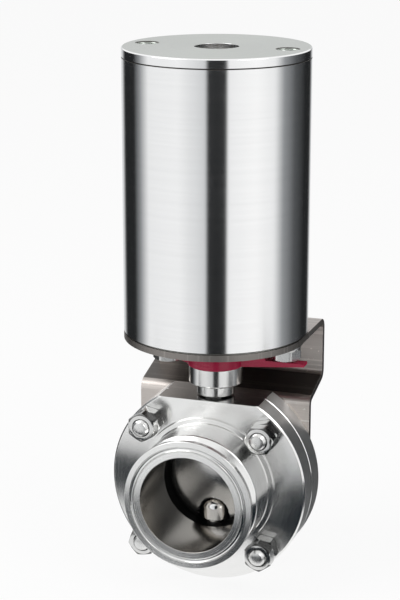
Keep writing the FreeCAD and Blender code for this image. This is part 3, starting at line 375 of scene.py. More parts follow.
def mix_finishes(choice):
    """Mix every finish once, under the name of what it is used on."""
    body, cap, sheet, fastener = choice.body, choice.cap, choice.sheet, choice.fastener
    # Numbers are roughness, spread of the highlight and relief, then grooves and wear;
    # brushed metals have the scales of their grain first
    FINISHES.update({
        "body": turned_metal("turned_body_steel", body, 0.19, 0.85, 0.2),
        "bore": turned_metal("bored_pipe_steel", choice.bore, 0.20, 0.5, 0.2),
        "edge": turned_metal("turned_edge_steel", body, 0.34, 0.3, 0.2),
        "ferrule": turned_metal("faced_ferrule_steel", scaled(body, 1.05), 0.26, 0.75, 0.3,
                                3400.0, 0.03),
        "disc": turned_metal("disc_steel", scaled(body, 0.76), 0.17, 0.4, 0.15),
        "hub": turned_metal("polished_hub_steel", scaled(body, 1.05), 0.12, 0.0, 0.1),
        "cap": turned_metal("satin_cap_steel", cap, 0.40, 0.4, 0.5, 2200.0),
        "rim": turned_metal("polished_cap_rim", choice.tube, 0.13, 0.6, 0.2, 3000.0),
        "port": turned_metal("threaded_port_steel", scaled(cap, 1.5), 0.30, 0.0, 0.2),
        # Near-black steel, painted shade in the ports' mouths, the seams at the tube's ends and the
        # coupling's groove
        "thread": turned_metal("oiled_port_thread", (0.09, 0.085, 0.08), 0.35, 0.0, 0.2),
        "shaft": turned_metal("shaft_steel", fastener, 0.20, 0.5, 0.5, 3200.0),
        "aluminium": turned_metal("piston_aluminium", (0.72, 0.73, 0.74), 0.32, 0.5, 0.5, 1500.0),
        "bronze": turned_metal("bearing_bronze", choice.bronze, 0.34, 0.3),
        "tube": tube_metal("polished_tube_steel", choice.tube),
        # Milled grain is real; the flat's much darker colour is painted shade under the bracket
        "flat": brushed_metal("milled_flat_steel", scaled(body, 0.45), (300.0, 2000.0, 2000.0), 0.18),
        "cut": brushed_metal("sheared_edge_steel", scaled(sheet, 0.62), (2600.0, 60.0, 2600.0), 0.42),
        "washer": brushed_metal("washer_steel", fastener, (700.0, 700.0, 900.0), 0.26),
        "spring": brushed_metal("spring_wire_steel", (0.45, 0.46, 0.48), (500.0, 500.0, 700.0), 0.34),
        "sheet": brushed_metal("brushed_bracket_steel", sheet, spread=0.6),
        # Painted shade: the bracket's incline, much darker than the rest of its sheet
        "incline": brushed_metal("dull_incline_steel", scaled(sheet, 0.25), spread=0.4),
        # Painted light: the leg's front is much lighter than the rest of its sheet
        "leg": brushed_metal("brushed_leg_steel", scaled(sheet, 1.4), spread=0.6),
        "nut": machined_metal("nut_steel", scaled(fastener, 0.92), 0.17),
        # Painted dark reflection: the nuts' turned-off corners, far darker than the nuts
        "chamfer": machined_metal("nut_chamfer_steel", scaled(fastener, 0.25), 0.25),
        "fastener": machined_metal("bright_fastener_steel", fastener),
        "sintered": sintered_metal("sintered_bronze", choice.bronze),
        "seat": moulded_rubber("seat_rubber", choice.rubber, gloss=1.12),
        "seal": moulded_rubber("seal_rubber", (0.03, 0.03, 0.03)),
        "bush": moulded_plastic("white_bush", (0.80, 0.79, 0.75), 0.45),
        "pointer": moulded_plastic("crimson_pointer", choice.pointer),
    })


# Mesh making

def eased(corners, steps=4):
    """Round every corner (across, along, radius) of a closed outline with a short arc."""
    points = []
    for index, (across, along, radius) in enumerate(corners):
        here = Vector((across, along))
        back = Vector(corners[index - 1][:2]) - here
        ahead = Vector(corners[(index + 1) % len(corners)][:2]) - here
        if radius <= 0:
            points.append(here)
            continue
        half = back.angle(ahead) / 2
        reach = min(radius / math.tan(half), 0.45 * back.length, 0.45 * ahead.length)
        true = reach * math.tan(half)
        centre = here + (back.normalized() + ahead.normalized()).normalized() * true / math.sin(half)
        start = here + back.normalized() * reach - centre
        end = here + ahead.normalized() * reach - centre
        first = math.atan2(start.y, start.x)
        swing = (math.atan2(end.y, end.x) - first + math.pi) % (2 * math.pi) - math.pi
        for step in range(steps + 1):
            turn = first + swing * step / steps
            points.append(centre + true * Vector((math.cos(turn), math.sin(turn))))
    return points


def mesh_from(spots, faces):
    """Make a clean mesh in metres from places in millimetres."""
    mesh = bpy.data.meshes.new("mesh")
    mesh.from_pydata([Vector(spot) * MM for spot in spots], [], faces)
    work = bmesh.new()
    work.from_mesh(mesh)
    bmesh.ops.remove_doubles(work, verts=work.verts, dist=1e-7)
    bmesh.ops.recalc_face_normals(work, faces=work.faces)
    work.to_mesh(mesh)
    work.free()
    return mesh


def skin(spots, count, ends="capped"):
    """Join rows of count spots each, whose ends are capped, left open or joined as a ring."""
    rows = len(spots) // count
    faces = []
    for level in range(rows if ends == "ring" else rows - 1):
        low, high = level * count, (level + 1) % rows * count
        for index in range(count):
            after = (index + 1) % count
            faces.append((low + index, low + after, high + after, high + index))
    if ends == "capped":
        faces += [tuple(range(count))[::-1], tuple(range(len(spots) - count, len(spots)))]
    return mesh_from(spots, faces)


def even_turns(count):
    return [2 * math.pi * index / count for index in range(count)]


def rows_mesh(rows, turns, ends="capped"):
    """Make a skin of rows, each one (radius, height) or a list of them with one for each turn."""
    spots = []
    for row in rows:
        for index, turn in enumerate(turns):
            radius, height = row[index] if isinstance(row[0], tuple) else row
            spots.append((radius * math.cos(turn), radius * math.sin(turn), height))
    return skin(spots, len(turns), ends)


def turned(corners, count=192, ends="ring", steps=4):
    """Turn an eased outline of (radius, height, ease) about Z."""
    return rows_mesh([tuple(point) for point in eased(corners, steps)], even_turns(count), ends)


def solid(rows, count=96):
    return rows_mesh(rows, even_turns(count))


def bar(radius, low, high, place=None, count=48):
    """Give a round bar and its place, to cut with or to add."""
    return solid([(radius, low), (radius, high)], count), place


def prism(outline, low, high):
    """Raise a closed outline of (x, y) between two heights."""
    return skin([(x, y, z) for z in (low, high) for x, y in outline], len(outline))


def box_outline(half_x, half_y):
    return [(-half_x, -half_y), (half_x, -half_y), (half_x, half_y), (-half_x, half_y)]


def wound(section, middle, steps, start, sweep, rise, lean=0.0):
    """Wind a section about its middle (radius, height) round Z while it rises; lean slants its ends."""
    spots = []
    for step in range(steps + 1):
        share = step / steps
        for point in section:
            turn = math.radians(start + lean * point.y + sweep * share)
            reach = middle[0] + point.x
            spots.append((reach * math.cos(turn), reach * math.sin(turn),
                          middle[1] + rise * share + point.y))
    return skin(spots, len(section))


def threaded_rod(radius, low, high, pitch, depth, ease=0.0, dome=0.0, thread_low=None,
                 count=48, rises=8):
    """Cut a helical thread on a rod from thread_low up, with an eased upper end and a domed tip."""
    turns = even_turns(count)
    thread_low = low if thread_low is None else thread_low
    steps = round((high - thread_low) / pitch * rises)
    levels = [low] if thread_low > low else []
    levels += [thread_low + (high - thread_low) * step / steps for step in range(steps + 1)]
    rows = []
    for level in levels:
        fade = min(1.0, max(0.0, (level - thread_low) / pitch))
        limit = radius - max(0.0, ease - (high - level))
        row = []
        for turn in turns:
            phase = (level / pitch - turn / (2 * math.pi)) % 1.0
            cutting = min(1.0, 1.25 * (1 - abs(2 * phase - 1)))
            row.append((min(limit, radius - depth * fade * cutting), level))
        rows.append(row)
    if dome:
        tip = min(part[0] for part in rows[-1])
        rows += [(tip * math.cos(bend), high + dome * math.sin(bend))
                 for bend in map(math.radians, (12, 35, 60, 80))]
    return rows_mesh(rows, turns)


# Angles from one corner of a hexagon to the next, close together at the corners
HEX_SPREAD = (0.0, 1.2, 3.5, 9.0, 18.0, 30.0, 42.0, 51.0, 56.5, 58.8)
CORNER_CUT = 0.16


def hex_form(width, spin):
    """Give a hexagon's turns, the reach where its end faces stop, and reach and drop at each turn."""
    turns = [math.radians(60 * side + part + spin) for side in range(6) for part in HEX_SPREAD]
    start = 0.475 * width
    limit = width / math.sqrt(3) - CORNER_CUT
    reaches = [min(width / 2 / math.cos(math.radians(part - 30)), limit) for part in HEX_SPREAD] * 6
    return turns, start, [(reach, (reach - start) * math.tan(math.radians(30))) for reach in reaches]


def hex_nut(width, height, bore, spin):
    """Make a hexagon nut whose corners are turned off at both ends, with an eased bore."""
    turns, start, lows = hex_form(width, spin)
    highs = [(reach, height - drop) for reach, drop in lows]
    rows = [(bore + 0.55, 0.0), (start, 0.0), lows, highs, (start, height),
            (bore + 0.55, height), (bore, height - 0.5), (bore, 0.5)]
    return rows_mesh(rows, turns, "ring")


def hex_head(width, height, spin, washer_face=0.35):
    """Make a bolt head below Z 0, with its washer face up and its corners turned off below."""
    turns, start, corners = hex_form(width, spin)
    lows = [(reach, drop - height) for reach, drop in corners]
    highs = [(reach, -washer_face) for reach, drop in corners]
    return rows_mesh([(start * 0.6, -height), (start, -height), lows, highs,
                      (start, -washer_face), (start, 0.0)], turns)


def gathered(pairs):
    """Set meshes at matrices and join them as one mesh."""
    work = bmesh.new()
    for mesh, move in pairs:
        before = len(work.verts)
        work.from_mesh(mesh)
        work.verts.ensure_lookup_table()
        bmesh.ops.transform(work, matrix=move, verts=work.verts[before:])
    joined = bpy.data.meshes.new("joined")
    work.to_mesh(joined)
    work.free()
    return joined


def shift(x=0.0, y=0.0, z=0.0):
    return Matrix.Translation(Vector((x, y, z)) * MM)


def linked(name, data):
    item = bpy.data.objects.new(name, data)
    bpy.context.scene.collection.objects.link(item)
    return item


def new_object(name, mesh, place=None):
    piece = linked(name, mesh)
    piece.matrix_world = Matrix.Translation(CENTRE) @ (place or Matrix.Identity(4))
    return piece


def settled(piece):
    """Apply the piece's modifiers to its own mesh."""
    bpy.context.view_layer.update()
    graph = bpy.context.evaluated_depsgraph_get()
    mesh = bpy.data.meshes.new_from_object(piece.evaluated_get(graph), preserve_all_data_layers=True,
                                           depsgraph=graph)
    piece.modifiers.clear()
    piece.data = mesh


def stepped(piece, kind, **settings):
    """Add a modifier to the piece, with its settings."""
    step = piece.modifiers.new("step", kind)
    for key, given in settings.items():
        setattr(step, key, given)


def shaped(piece, tools, operation="DIFFERENCE"):
    """Cut, join or keep what is common with tools, given as (mesh, place) pairs."""
    helpers = [new_object("tool", mesh, place) for mesh, place in tools]
    for helper in helpers:
        stepped(piece, "BOOLEAN", operation=operation, solver="EXACT", object=helper)
    settled(piece)
    for helper in helpers:
        bpy.data.objects.remove(helper)


def broken_edges(piece, width, segments=2, angle=35.0):
    """Break the piece's sharp edges with small rounds."""
    stepped(piece, "BEVEL", width=width * MM, segments=segments, limit_method="ANGLE",
            angle_limit=math.radians(angle))
    settled(piece)


def finished(piece, finish, body, node, sharp=32.0):
    """Shade the piece, paint it, let it ride on its body and stand for its node."""
    piece.data.shade_smooth()
    piece.data.set_sharp_from_angle(angle=math.radians(sharp))
    stepped(piece, "WEIGHTED_NORMAL", keep_sharp=True)
    settled(piece)
    piece.data.materials.clear()
    piece.data.materials.append(FINISHES[finish])
    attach(piece, body)
    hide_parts(node)
    return piece


def repainted(piece, finish, test):
    """Repaint the faces that pass a test of middle in millimetres, normal and distance from Z."""
    index = len(piece.data.materials)
    piece.data.materials.append(FINISHES[finish])
    for face in piece.data.polygons:
        spot = face.center / MM
        if test(spot, face.normal, math.hypot(spot.x, spot.y)):
            face.material_index = index


# Body halves, seat and disc

# Rooms for the seat's eyes, the bushes and the stem, above and below the bore
STEM_CHANNEL = (
    ((8.84, 22.8), (8.84, 30.64), (8.02, 30.64), (8.02, 38.44), (6.7, 38.44), (6.7, 44.0)),
    ((8.02, -40.34), (8.02, -30.64), (8.84, -30.64), (8.84, -22.8)),
)


def half_outline(flange):
    """Outline of a body half, from the joint outward, as radius, distance and ease."""
    shoulder = FLANGE_DEPTH + 1.5
    groove = [(28.1 + 1.35 * math.cos(bend), HALF_FACE - 1.35 * math.sin(bend), 0.0)
              for bend in map(math.radians, range(0, 181, 15))]
    return [
        (BORE, HALF_FACE, 0.25), (BORE, 9.04, 0.1), (26.64, 9.04, 0.1), (26.64, 4.64, 0.1),
        (29.64, 4.64, 0.1), (29.64, 0.05, 0.0), (flange - 0.5, 0.05, 0.0), (flange, 0.55, 0.15),
        (flange, FLANGE_DEPTH - 0.8, 0.35), (flange - 0.8, FLANGE_DEPTH, 0.35),
        (34.19, FLANGE_DEPTH, 0.12), (34.19, shoulder, 0.3), (31.59, shoulder, 0.4),
        (31.59, 32.45, 1.2), (26.4, 35.85, 1.4), (26.4, 38.05, 0.6), (32.0, 40.15, 0.4),
        (32.0, HALF_FACE, 0.35), *groove,
    ]


def body_half(name, facing, node):
    """Turn one half of the body, mill its flat and drill it."""
    flange = size("flange_radius")
    piece = new_object(name, turned(half_outline(flange), 256), facing)
    tools = [(solid(rows), None) for rows in STEM_CHANNEL]
    tools.append((prism(box_outline(60.0, 50.0), FLAT_HEIGHT, THROUGH), None))
    tools += [bar(BOLT_WAY, -THROUGH, THROUGH, shift(x, 0, z) @ FACING_FRONT, 64) for x, z in BOLT_SPOTS]
    shaped(piece, tools)
    finished(piece, "body", "valve_body", node)
    # Painted shade: the bore inside the pipe ends takes a darker, warmer colour than the body
    repainted(piece, "bore", lambda spot, normal, off: off < BORE + 0.5)
    repainted(piece, "ferrule", lambda spot, normal, off: spot.z > HALF_FACE - 0.1 and normal.z > 0.95)
    repainted(piece, "edge", lambda spot, normal, off: off > flange - 0.6 and abs(normal.z) < 0.2)
    # Painted shade: the milled flat under the bracket is much darker than the body
    repainted(piece, "flat",
              lambda spot, normal, off: abs(spot.y) > FLAT_HEIGHT - 0.2 and abs(normal.y) > 0.99)


class VALVE_OT_body_halves(bpy.types.Operator):
    """Turn both body halves with their flanges, necks and clamp ferrules"""
    bl_idname = "valve.body_halves"
    bl_label = "Body halves"

    def execute(self, context):
        body_half("front_body_half", FACING_FRONT, "front_body")
        body_half("rear_body_half", ALONG_PIPE, "rear_body")
        return {"FINISHED"}


class VALVE_OT_seat(bpy.types.Operator):
    """Mould the rubber seat with its bulge, tongue and stem eyes"""
    bl_idname = "valve.seat"
    bl_label = "Seat ring"

    def execute(self, context):
        ring = turned([
            (BORE, -9.0, 0.35), (26.6, -9.0, 0.2), (26.6, -4.6, 0.1), (29.6, -4.6, 0.3),
            (29.6, 4.6, 0.3), (26.6, 4.6, 0.1), (26.6, 9.0, 0.2), (BORE, 9.0, 0.35),
            (23.35, 3.2, 3.0), (23.35, -3.2, 3.0)], steps=6)
        piece = new_object("seat_rubber_ring", ring, ALONG_PIPE)
        eye, stem_way = 8.8, 6.05
        shaped(piece, [bar(eye, low, low + 6.0, count=96) for low in (24.6, -30.6)], "UNION")
        shaped(piece, [bar(stem_way, -THROUGH, THROUGH, count=96)])
        finished(piece, "seat", "valve_body", "seat_ring")
        return {"FINISHED"}


# The disc's half thickness at its edge, the crown of its lens, and the height of its hub
DISC_EDGE = 2.1
DISC_CROWN = 3.7
HUB_HEIGHT = 6.9


def blended(first, second, reach):
    """Give the larger of two heights, with a soft change between them."""
    gap = max(reach - abs(first - second), 0.0) / reach
    return max(first, second) + gap * gap * reach / 4


def disc_height(x, z):
    """Height of the disc's skin over its middle plane: a shallow lens with round-ended hubs."""
    radius = math.hypot(x, z)
    lens = DISC_EDGE + (DISC_CROWN - DISC_EDGE) * max(0.0, 1 - (radius / 22.4) ** 1.5)
    run = 1.35 * max(0.0, 15.8 - abs(z))
    wide = 6.2 + 0.22 * max(0.0, abs(z) - 11.0)
    hub = HUB_HEIGHT * math.sqrt(max(1 - (run / HUB_HEIGHT) ** 2 - (x / wide) ** 2, 0.0))
    end = min(1.0, max(0.0, (21.8 - abs(z)) / 0.5))
    return blended(lens, hub * math.sqrt(end), 4.5)


def disc_skin(count=288):
    """Lay both faces of the disc over a polar grid and close them round the rim."""
    turns = even_turns(count)
    radii = [20.0 * step / 56 for step in range(1, 57)]
    radii += [20.0 + 2.35 * step / 14 for step in range(1, 15)]
    rim = ((22.75, 0.28), (22.97, 0.75), (23.05, 1.1))
    face = [[(0.0, DISC_CROWN)] * count]
    face += [[(radius, disc_height(radius * math.cos(turn), radius * math.sin(turn))) for turn in turns]
             for radius in radii]
    face += [[(radius, DISC_EDGE - drop)] * count for radius, drop in rim]
    back = [[(radius, -height) for radius, height in row] for row in face]
    return rows_mesh(back + face[::-1], turns)


class VALVE_OT_disc(bpy.types.Operator):
    """Cast the disc with its round-ended hubs and turn the stems that stand on it"""
    bl_idname = "valve.disc"
    bl_label = "Disc and stems"

    def execute(self, context):
        piece = new_object("valve_disc_and_stems", disc_skin(), ALONG_PIPE)
        stem = solid([(5.9, 19.0), (6.0, 20.0), (6.0, 40.2), (5.6, 40.6)])
        square = prism(box_outline(4.0, 4.0), 40.0, 54.4)
        trunnion = solid([(5.2, -39.0), (6.0, -38.2), (6.0, -20.0), (5.9, -19.0)])
        shaped(piece, [(tool, None) for tool in (stem, square, trunnion)], "UNION")
        finished(piece, "disc", "drive_train", "valve_disc")
        repainted(piece, "hub",
                  lambda spot, normal, off: abs(spot.z) > DISC_CROWN + 0.4 and abs(spot.y) < 21.6)
        return {"FINISHED"}


# Fasteners

def bolt(move, seat, end, spin, ease, dome=0.0, thread_low=None):
    """Give a bolt's head, which lies below its seat, and its threaded shank, each with its place."""
    head = hex_head(size("hex_width"), HEAD_HEIGHT, spin)
    shank = threaded_rod(size("bolt_radius"), seat - 0.5, end, THREAD_PITCH, THREAD_DEPTH,
                         ease, dome, thread_low)
    return [(head, move @ shift(0, 0, seat)), (shank, move)]


def fastener_set(name, pairs, finish, node):
    """Join fasteners as one piece of the valve's body."""
    piece = new_object(name, gathered(pairs))
    return finished(piece, finish, "valve_body", node)


class VALVE_OT_flange_bolts(bpy.types.Operator):
    """Set the four threaded flange bolts from the rear"""
    bl_idname = "valve.flange_bolts"
    bl_label = "Flange bolts"

    def execute(self, context):
        dome, ease, over, threaded = 0.45, 0.9, 2.2, 22.0
        for side, spots, seat in (("lower", BOLT_SPOTS[:2], FLANGE_DEPTH),
                                  ("upper", BOLT_SPOTS[2:], FLANGE_DEPTH + SHEET)):
            length = seat + FLANGE_DEPTH + 2 * NUT_HEIGHT + over
            pairs = []
            for index, (x, z) in enumerate(spots):
                pairs += bolt(shift(x, seat, z) @ FACING_FRONT, 0.0, length - dome, 11.0 + 17.0 * index,
                              ease, dome, length - threaded)
            fastener_set(side + "_flange_bolt_pair", pairs, "fastener", side + "_flange_bolts")
        return {"FINISHED"}


class VALVE_OT_nuts(bpy.types.Operator):
    """Set a nut and a lock nut on each flange bolt, each turned its own way"""
    bl_idname = "valve.nuts"
    bl_label = "Nuts"

    def execute(self, context):
        for node, lift, spins in (("flange_nuts", 0.0, (22.0, 50.0, 48.0, 14.0)),
                                  ("lock_nuts", NUT_HEIGHT, (10.0, 35.0, 30.0, 5.0))):
            pairs = [(hex_nut(size("hex_width"), NUT_HEIGHT - 0.02, 4.02, spin),
                      shift(x, -FLANGE_DEPTH - lift, z) @ FACING_FRONT)
                     for spin, (x, z) in zip(spins, BOLT_SPOTS)]
            piece = fastener_set(node + "_set", pairs, "nut", node)
            # Painted dark reflection: the sloped corner and bore faces of the nuts take a much darker
            # finish
            repainted(piece, "chamfer", lambda spot, normal, off: 0.2 < abs(normal.z) < 0.95)
        return {"FINISHED"}


# Angle, share of the mount circle and head turn of each bolt under the actuator
MOUNT_BOLTS = ((2.0, 1.0, 6.0), (145.0, 0.95, 30.0), (221.0, 0.706, 15.0))
MOUNT_INSET = 9.5
WASHER_BORE = 4.05


def mount_spots():
    """Give the bolts' places on the circle they stand on, each with its head's turn."""
    circle = size("tube_radius") - MOUNT_INSET
    return [(circle * share * math.cos(math.radians(angle)),
             circle * share * math.sin(math.radians(angle)), spin) for angle, share, spin in MOUNT_BOLTS]


def split_ring(outer, low, high, rise=0.35, gap=7.0, slant=6.0):
    """Wind a spring washer with a slanted cut."""
    section = eased([(WASHER_BORE, low, 0.2), (outer, low, 0.2), (outer, high - rise, 0.2),
                     (WASHER_BORE, high - rise, 0.2)], 2)
    lean = slant / (high - low)
    return wound(section, (0.0, 0.0), 64, gap / 2 - lean * low, 360 - gap, rise, lean)


class VALVE_OT_mount_fasteners(bpy.types.Operator):
    """Set the bolts, washers and spring washers under the actuator"""
    bl_idname = "valve.mount_fasteners"
    bl_label = "Bolts under the actuator"

    def execute(self, context):
        under = size("plate_top") - SHEET
        base = under - PLAIN_WASHER
        seat = base - SPRING_WASHER
        bolts, plains, springs = [], [], []
        for x, y, spin in mount_spots():
            move = shift(x, y, 0)
            bolts += bolt(move, seat, under + SHEET + 10.0, spin, 0.8)
            plains.append((turned([
                (WASHER_BORE, base, 0.15), (8.0, base, 0.3), (8.0, under, 0.2),
                (WASHER_BORE, under, 0.15)], 72, steps=3), move))
            springs.append((split_ring(7.2, seat, base), move))
        fastener_set("mount_bolt_set", bolts, "fastener", "bracket_bolts")
        fastener_set("plain_washer_set", plains, "washer", "plain_washers")
        fastener_set("spring_washer_set", springs, "washer", "lock_washers")
        return {"FINISHED"}


# Bracket

BRACKET_REACH = 38.5
LEG_FOOT = 17.0
# Radius on the inner and the outer side of each bend
TIGHT, WIDE = 2.5, 2.5 + SHEET


class VALVE_OT_bracket(bpy.types.Operator):
    """Bend the bracket from sheet, trim it round and drill it"""
    bl_idname = "valve.bracket"
    bl_label = "Bracket"

    def execute(self, context):
        top = size("plate_top")
        low = top - SHEET
        reach = size("tube_radius")
        half = reach - 0.5
        behind = FLANGE_DEPTH + SHEET
        inner = BRACKET_REACH - SHEET
        fold = eased([
            (-reach - 2.0, low, 0.0), (-reach - 2.0, top, 0.0), (BRACKET_REACH, top, WIDE),
            (BRACKET_REACH, 44.72, WIDE), (behind, 38.32, TIGHT), (behind, LEG_FOOT, 0.0),
            (FLANGE_DEPTH, LEG_FOOT, 0.0), (FLANGE_DEPTH, 40.6, WIDE), (inner, 47.0, TIGHT),
            (inner, low, TIGHT)], steps=10)
        # The fold's outline lies in depth and height, and is raised along the width
        stand = Matrix(((0, 0, 1, 0), (1, 0, 0, 0), (0, 1, 0, 0), (0, 0, 0, 1)))
        piece = new_object("bracket_sheet", prism(fold, -half, half), stand)
        start = math.acos(half / reach)
        turns = [start + (math.pi - 2 * start) * step / 96 for step in range(97)]
        front = [(reach * math.cos(turn), -reach * math.sin(turn)) for turn in turns]
        plan = prism([(half, THROUGH), *front, (-half, THROUGH)], -10.0, 100.0)
        shaped(piece, [(plan, None)], "INTERSECT")
        leg = eased([(-reach, 100.0, 0), (-reach, LEG_FOOT, 4.0), (reach, LEG_FOOT, 4.0),
                     (reach, 100.0, 0)])
        shaped(piece, [(prism(leg, -THROUGH, THROUGH), FACING_FRONT)], "INTERSECT")
        ring_way, drive_way = 35.49, 15.0
        tools = [bar(ring_way, -THROUGH, THROUGH, FACING_FRONT, 160),
                 bar(drive_way, low - 5.0, top + 5.0, count=96)]
        tools += [bar(BOLT_WAY, 0.0, THROUGH, shift(x, 0, z) @ ALONG_PIPE) for x, z in BOLT_SPOTS[2:]]
        tools += [bar(BOLT_WAY, low - 5.0, top + 5.0, shift(*spot[:2])) for spot in mount_spots()]
        shaped(piece, tools)
        broken_edges(piece, 0.28)
        finished(piece, "sheet", "valve_body", "bracket")
        # Painted shade: the incline's upward face below the plate is much darker than the sheet
        repainted(piece, "incline", lambda spot, normal, off: normal.y > 0.9 and spot.y < 50.0)
        # Painted light: the front face of the lower leg is lighter than the sheet
        repainted(piece, "leg", lambda spot, normal, off: normal.x < -0.9 and spot.y < 41.0)
        repainted(piece, "cut", lambda spot, normal, off: (
            math.hypot(spot.x, spot.z) > reach - 0.7 and spot.x < 35.0 and spot.y > low
            and abs(normal.y) < 0.3))
        return {"FINISHED"}


# Actuator

TUBE_WALL = 2.5
BREATHER_WAY = 2.52
BREATHER_LIFT = 24.0
PORT_INSET = 10.0
PORT_RADIUS, PORT_PITCH, PORT_DEPTH = 5.7, 0.907, 0.5
AIR_WAY = 3.0
ROD_WAY = 4.02
ROD_OFFSET = 24.0
# Depth of the thin dark seam between cap and tube that the picture shows, painted as shade on the foot
# of the cap's rim
SEAM_SHADE_DEPTH = 0.26


class VALVE_OT_tube(bpy.types.Operator):
    """Draw and polish the actuator's tube, and bore its breather hole"""
    bl_idname = "valve.tube"
    bl_label = "Actuator tube"

    def execute(self, context):
        low, high = levels_of("cylinder_tube")
        reach = size("tube_radius")
        inner = reach - TUBE_WALL
        tube = turned([(inner, low, 0.3), (reach, low, 0.35),
                       (reach, high, 0.25), (inner, high, 0.3)], 384)
        piece = new_object("polished_actuator_tube", tube)
        breather = shift(0, 0, size("plate_top") + BREATHER_LIFT) @ ALONG_PIPE
        shaped(piece, [bar(BREATHER_WAY, 30.0, THROUGH, breather)])
        finished(piece, "tube", "valve_body", "cylinder_tube", sharp=25.0)
        # Painted shade: the tube's top and bottom edges take the near-black finish, as the shade in the
        # seams at its ends
        repainted(piece, "thread",
                  lambda spot, normal, off: spot.z > high - 0.27 or spot.z < low + 0.36)
        return {"FINISHED"}


class VALVE_OT_top_cap(bpy.types.Operator):
    """Turn the upper cap, cut threads in its two air ports and open its middle"""
    bl_idname = "valve.top_cap"
    bl_label = "Upper cap"

    def execute(self, context):
        top = size("cap_top")
        reach = size("tube_radius")
        foot, rim = top - 18.5, top - 4.6
        spigot = reach - 2.54
        hole, core, floor = 10.5, 14.4, top - 9.2
        cap = turned([
            (core, foot, 0.2), (spigot - 0.6, foot, 0.1), (spigot, foot + 0.6, 0.1),
            (spigot, foot + 1.2, 0.1), (spigot - 3.0, foot + 1.2, 0.2), (spigot - 3.0, foot + 4.2, 0.2),
            (spigot, foot + 4.2, 0.1), (spigot, rim, 0.0), (reach, rim, 0.25), (reach, top - 0.6, 0.3),
            (reach - 0.6, top, 0.3), (hole + 0.3, top, 0.15), (hole, top - 0.3, 0.15),
            (hole, floor, 0.3), (core, floor, 0.2)], 384)
        piece = new_object("upper_cap", cap)
        tools = []
        for side in (-1, 1):
            move = shift(side * (reach - PORT_INSET), 0, 0)
            thread = threaded_rod(PORT_RADIUS, top - 13.0, top + 0.5, PORT_PITCH, PORT_DEPTH,
                                  count=72, rises=6)
            mouth = solid([(5.3, top - 0.5), (6.0, top + 0.2), (6.0, top + 1.0)])
            tools += [(thread, move), (mouth, move), bar(AIR_WAY, foot - 2.0, top - 12.0, move),
                      bar(ROD_WAY, foot - 2.0, foot + 10.0, shift(0, side * ROD_OFFSET, 0))]
        shaped(piece, tools)
        finished(piece, "cap", "valve_body", "top_cap", sharp=25.0)

        def in_port(spot):
            return math.hypot(abs(spot.x) - reach + PORT_INSET, spot.y) < 6.0

        repainted(piece, "rim", lambda spot, normal, off: off > reach - 0.35 or off < hole + 0.1)
        repainted(piece, "port", lambda spot, normal, off: in_port(spot) and spot.z < top - 0.45)
        # Painted shade: a near-black band just under the top of each port's mouth and at the foot of the
        # rim, at the seam to the tube
        repainted(piece, "thread", lambda spot, normal, off: (
            in_port(spot) and top - 0.45 < spot.z < top - 0.12
            or off > reach - 0.35 and spot.z < rim + SEAM_SHADE_DEPTH))
        return {"FINISHED"}


# Coupling, pointer and spring

def grub_hole(level):
    """Give a grub screw's hole at a level, from the stem axis out to the rear."""
    return bar(GRUB_WAY, 0.0, 20.0, shift(0, 0, level) @ ALONG_PIPE, 40)


class VALVE_OT_coupling(bpy.types.Operator):
    """Turn the coupling with its two collars and broach its sockets"""
    bl_idname = "valve.coupling"
    bl_label = "Coupling"

    def execute(self, context):
        foot, high = levels_of("coupling")
        seat = levels_of("pointer")[0]
        gap_low, gap_high = foot + 5.1, foot + 5.7
        coupling = turned([
            (2.0, foot, 0), (9.2, foot, 0.5), (9.2, gap_low, 0.35), (8.4, gap_low, 0.12),
            (8.4, gap_high, 0.12), (13.2, gap_high, 0.9), (13.2, seat, 0.4), (10.2, seat, 0.15),
            (10.2, high, 0.4), (2.0, high, 0)], 144, "capped", 5)
        piece = new_object("stem_coupling", coupling)
        # Half width of each square socket, and the level where it ends
        (stem_half, stem_end), (shaft_half, shaft_end) = (4.05, 54.7), (6.05, 56.1)
        shaped(piece, [(prism(box_outline(stem_half, stem_half), foot - 1.0, stem_end), None),
                       (prism(box_outline(shaft_half, shaft_half), shaft_end, high + 1.0), None),
                       grub_hole(foot + 8.7)])
        finished(piece, "shaft", "drive_train", "coupling")
        # Painted shade: the groove between the two collars takes the near-black finish
        repainted(piece, "thread",
                  lambda spot, normal, off: off < 9.15 and gap_low - 0.1 < spot.z < gap_high + 0.1)
        return {"FINISHED"}


class VALVE_OT_pointer(bpy.types.Operator):
    """Mould the pointer with its long arm and short tail"""
    bl_idname = "valve.pointer"
    bl_label = "Pointer"

    def execute(self, context):
        (back, base), (tip, high) = ((corner.x / MM, corner.z / MM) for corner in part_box("pointer"))
        root, wall, arm_top = 11.3, 25.0, base + 4.8
        piece = new_object("crimson_pointer_arm", turned([
            (10.25, base, 0.2), (14.0, base, 0.7), (14.0, high, 0.6), (10.25, high, 0.3)], 128))
        arm = [(root, base + 0.3), (tip, base + 3.4), (tip, arm_top), (wall + 1.0, arm_top),
               (wall, high), (root, high)]
        tail = [(-root, base + 0.3), (-root, high), (back, high), (back, base + 4.4)]
        shaped(piece, [(prism(outline, -half, half), FACING_FRONT)
                       for outline, half in ((arm, 3.0), (tail, 6.0))], "UNION")
        shaped(piece, [grub_hole((base + high) / 2)])
        broken_edges(piece, 0.45, 3, 40.0)
        finished(piece, "pointer", "drive_train", "pointer")
        return {"FINISHED"}


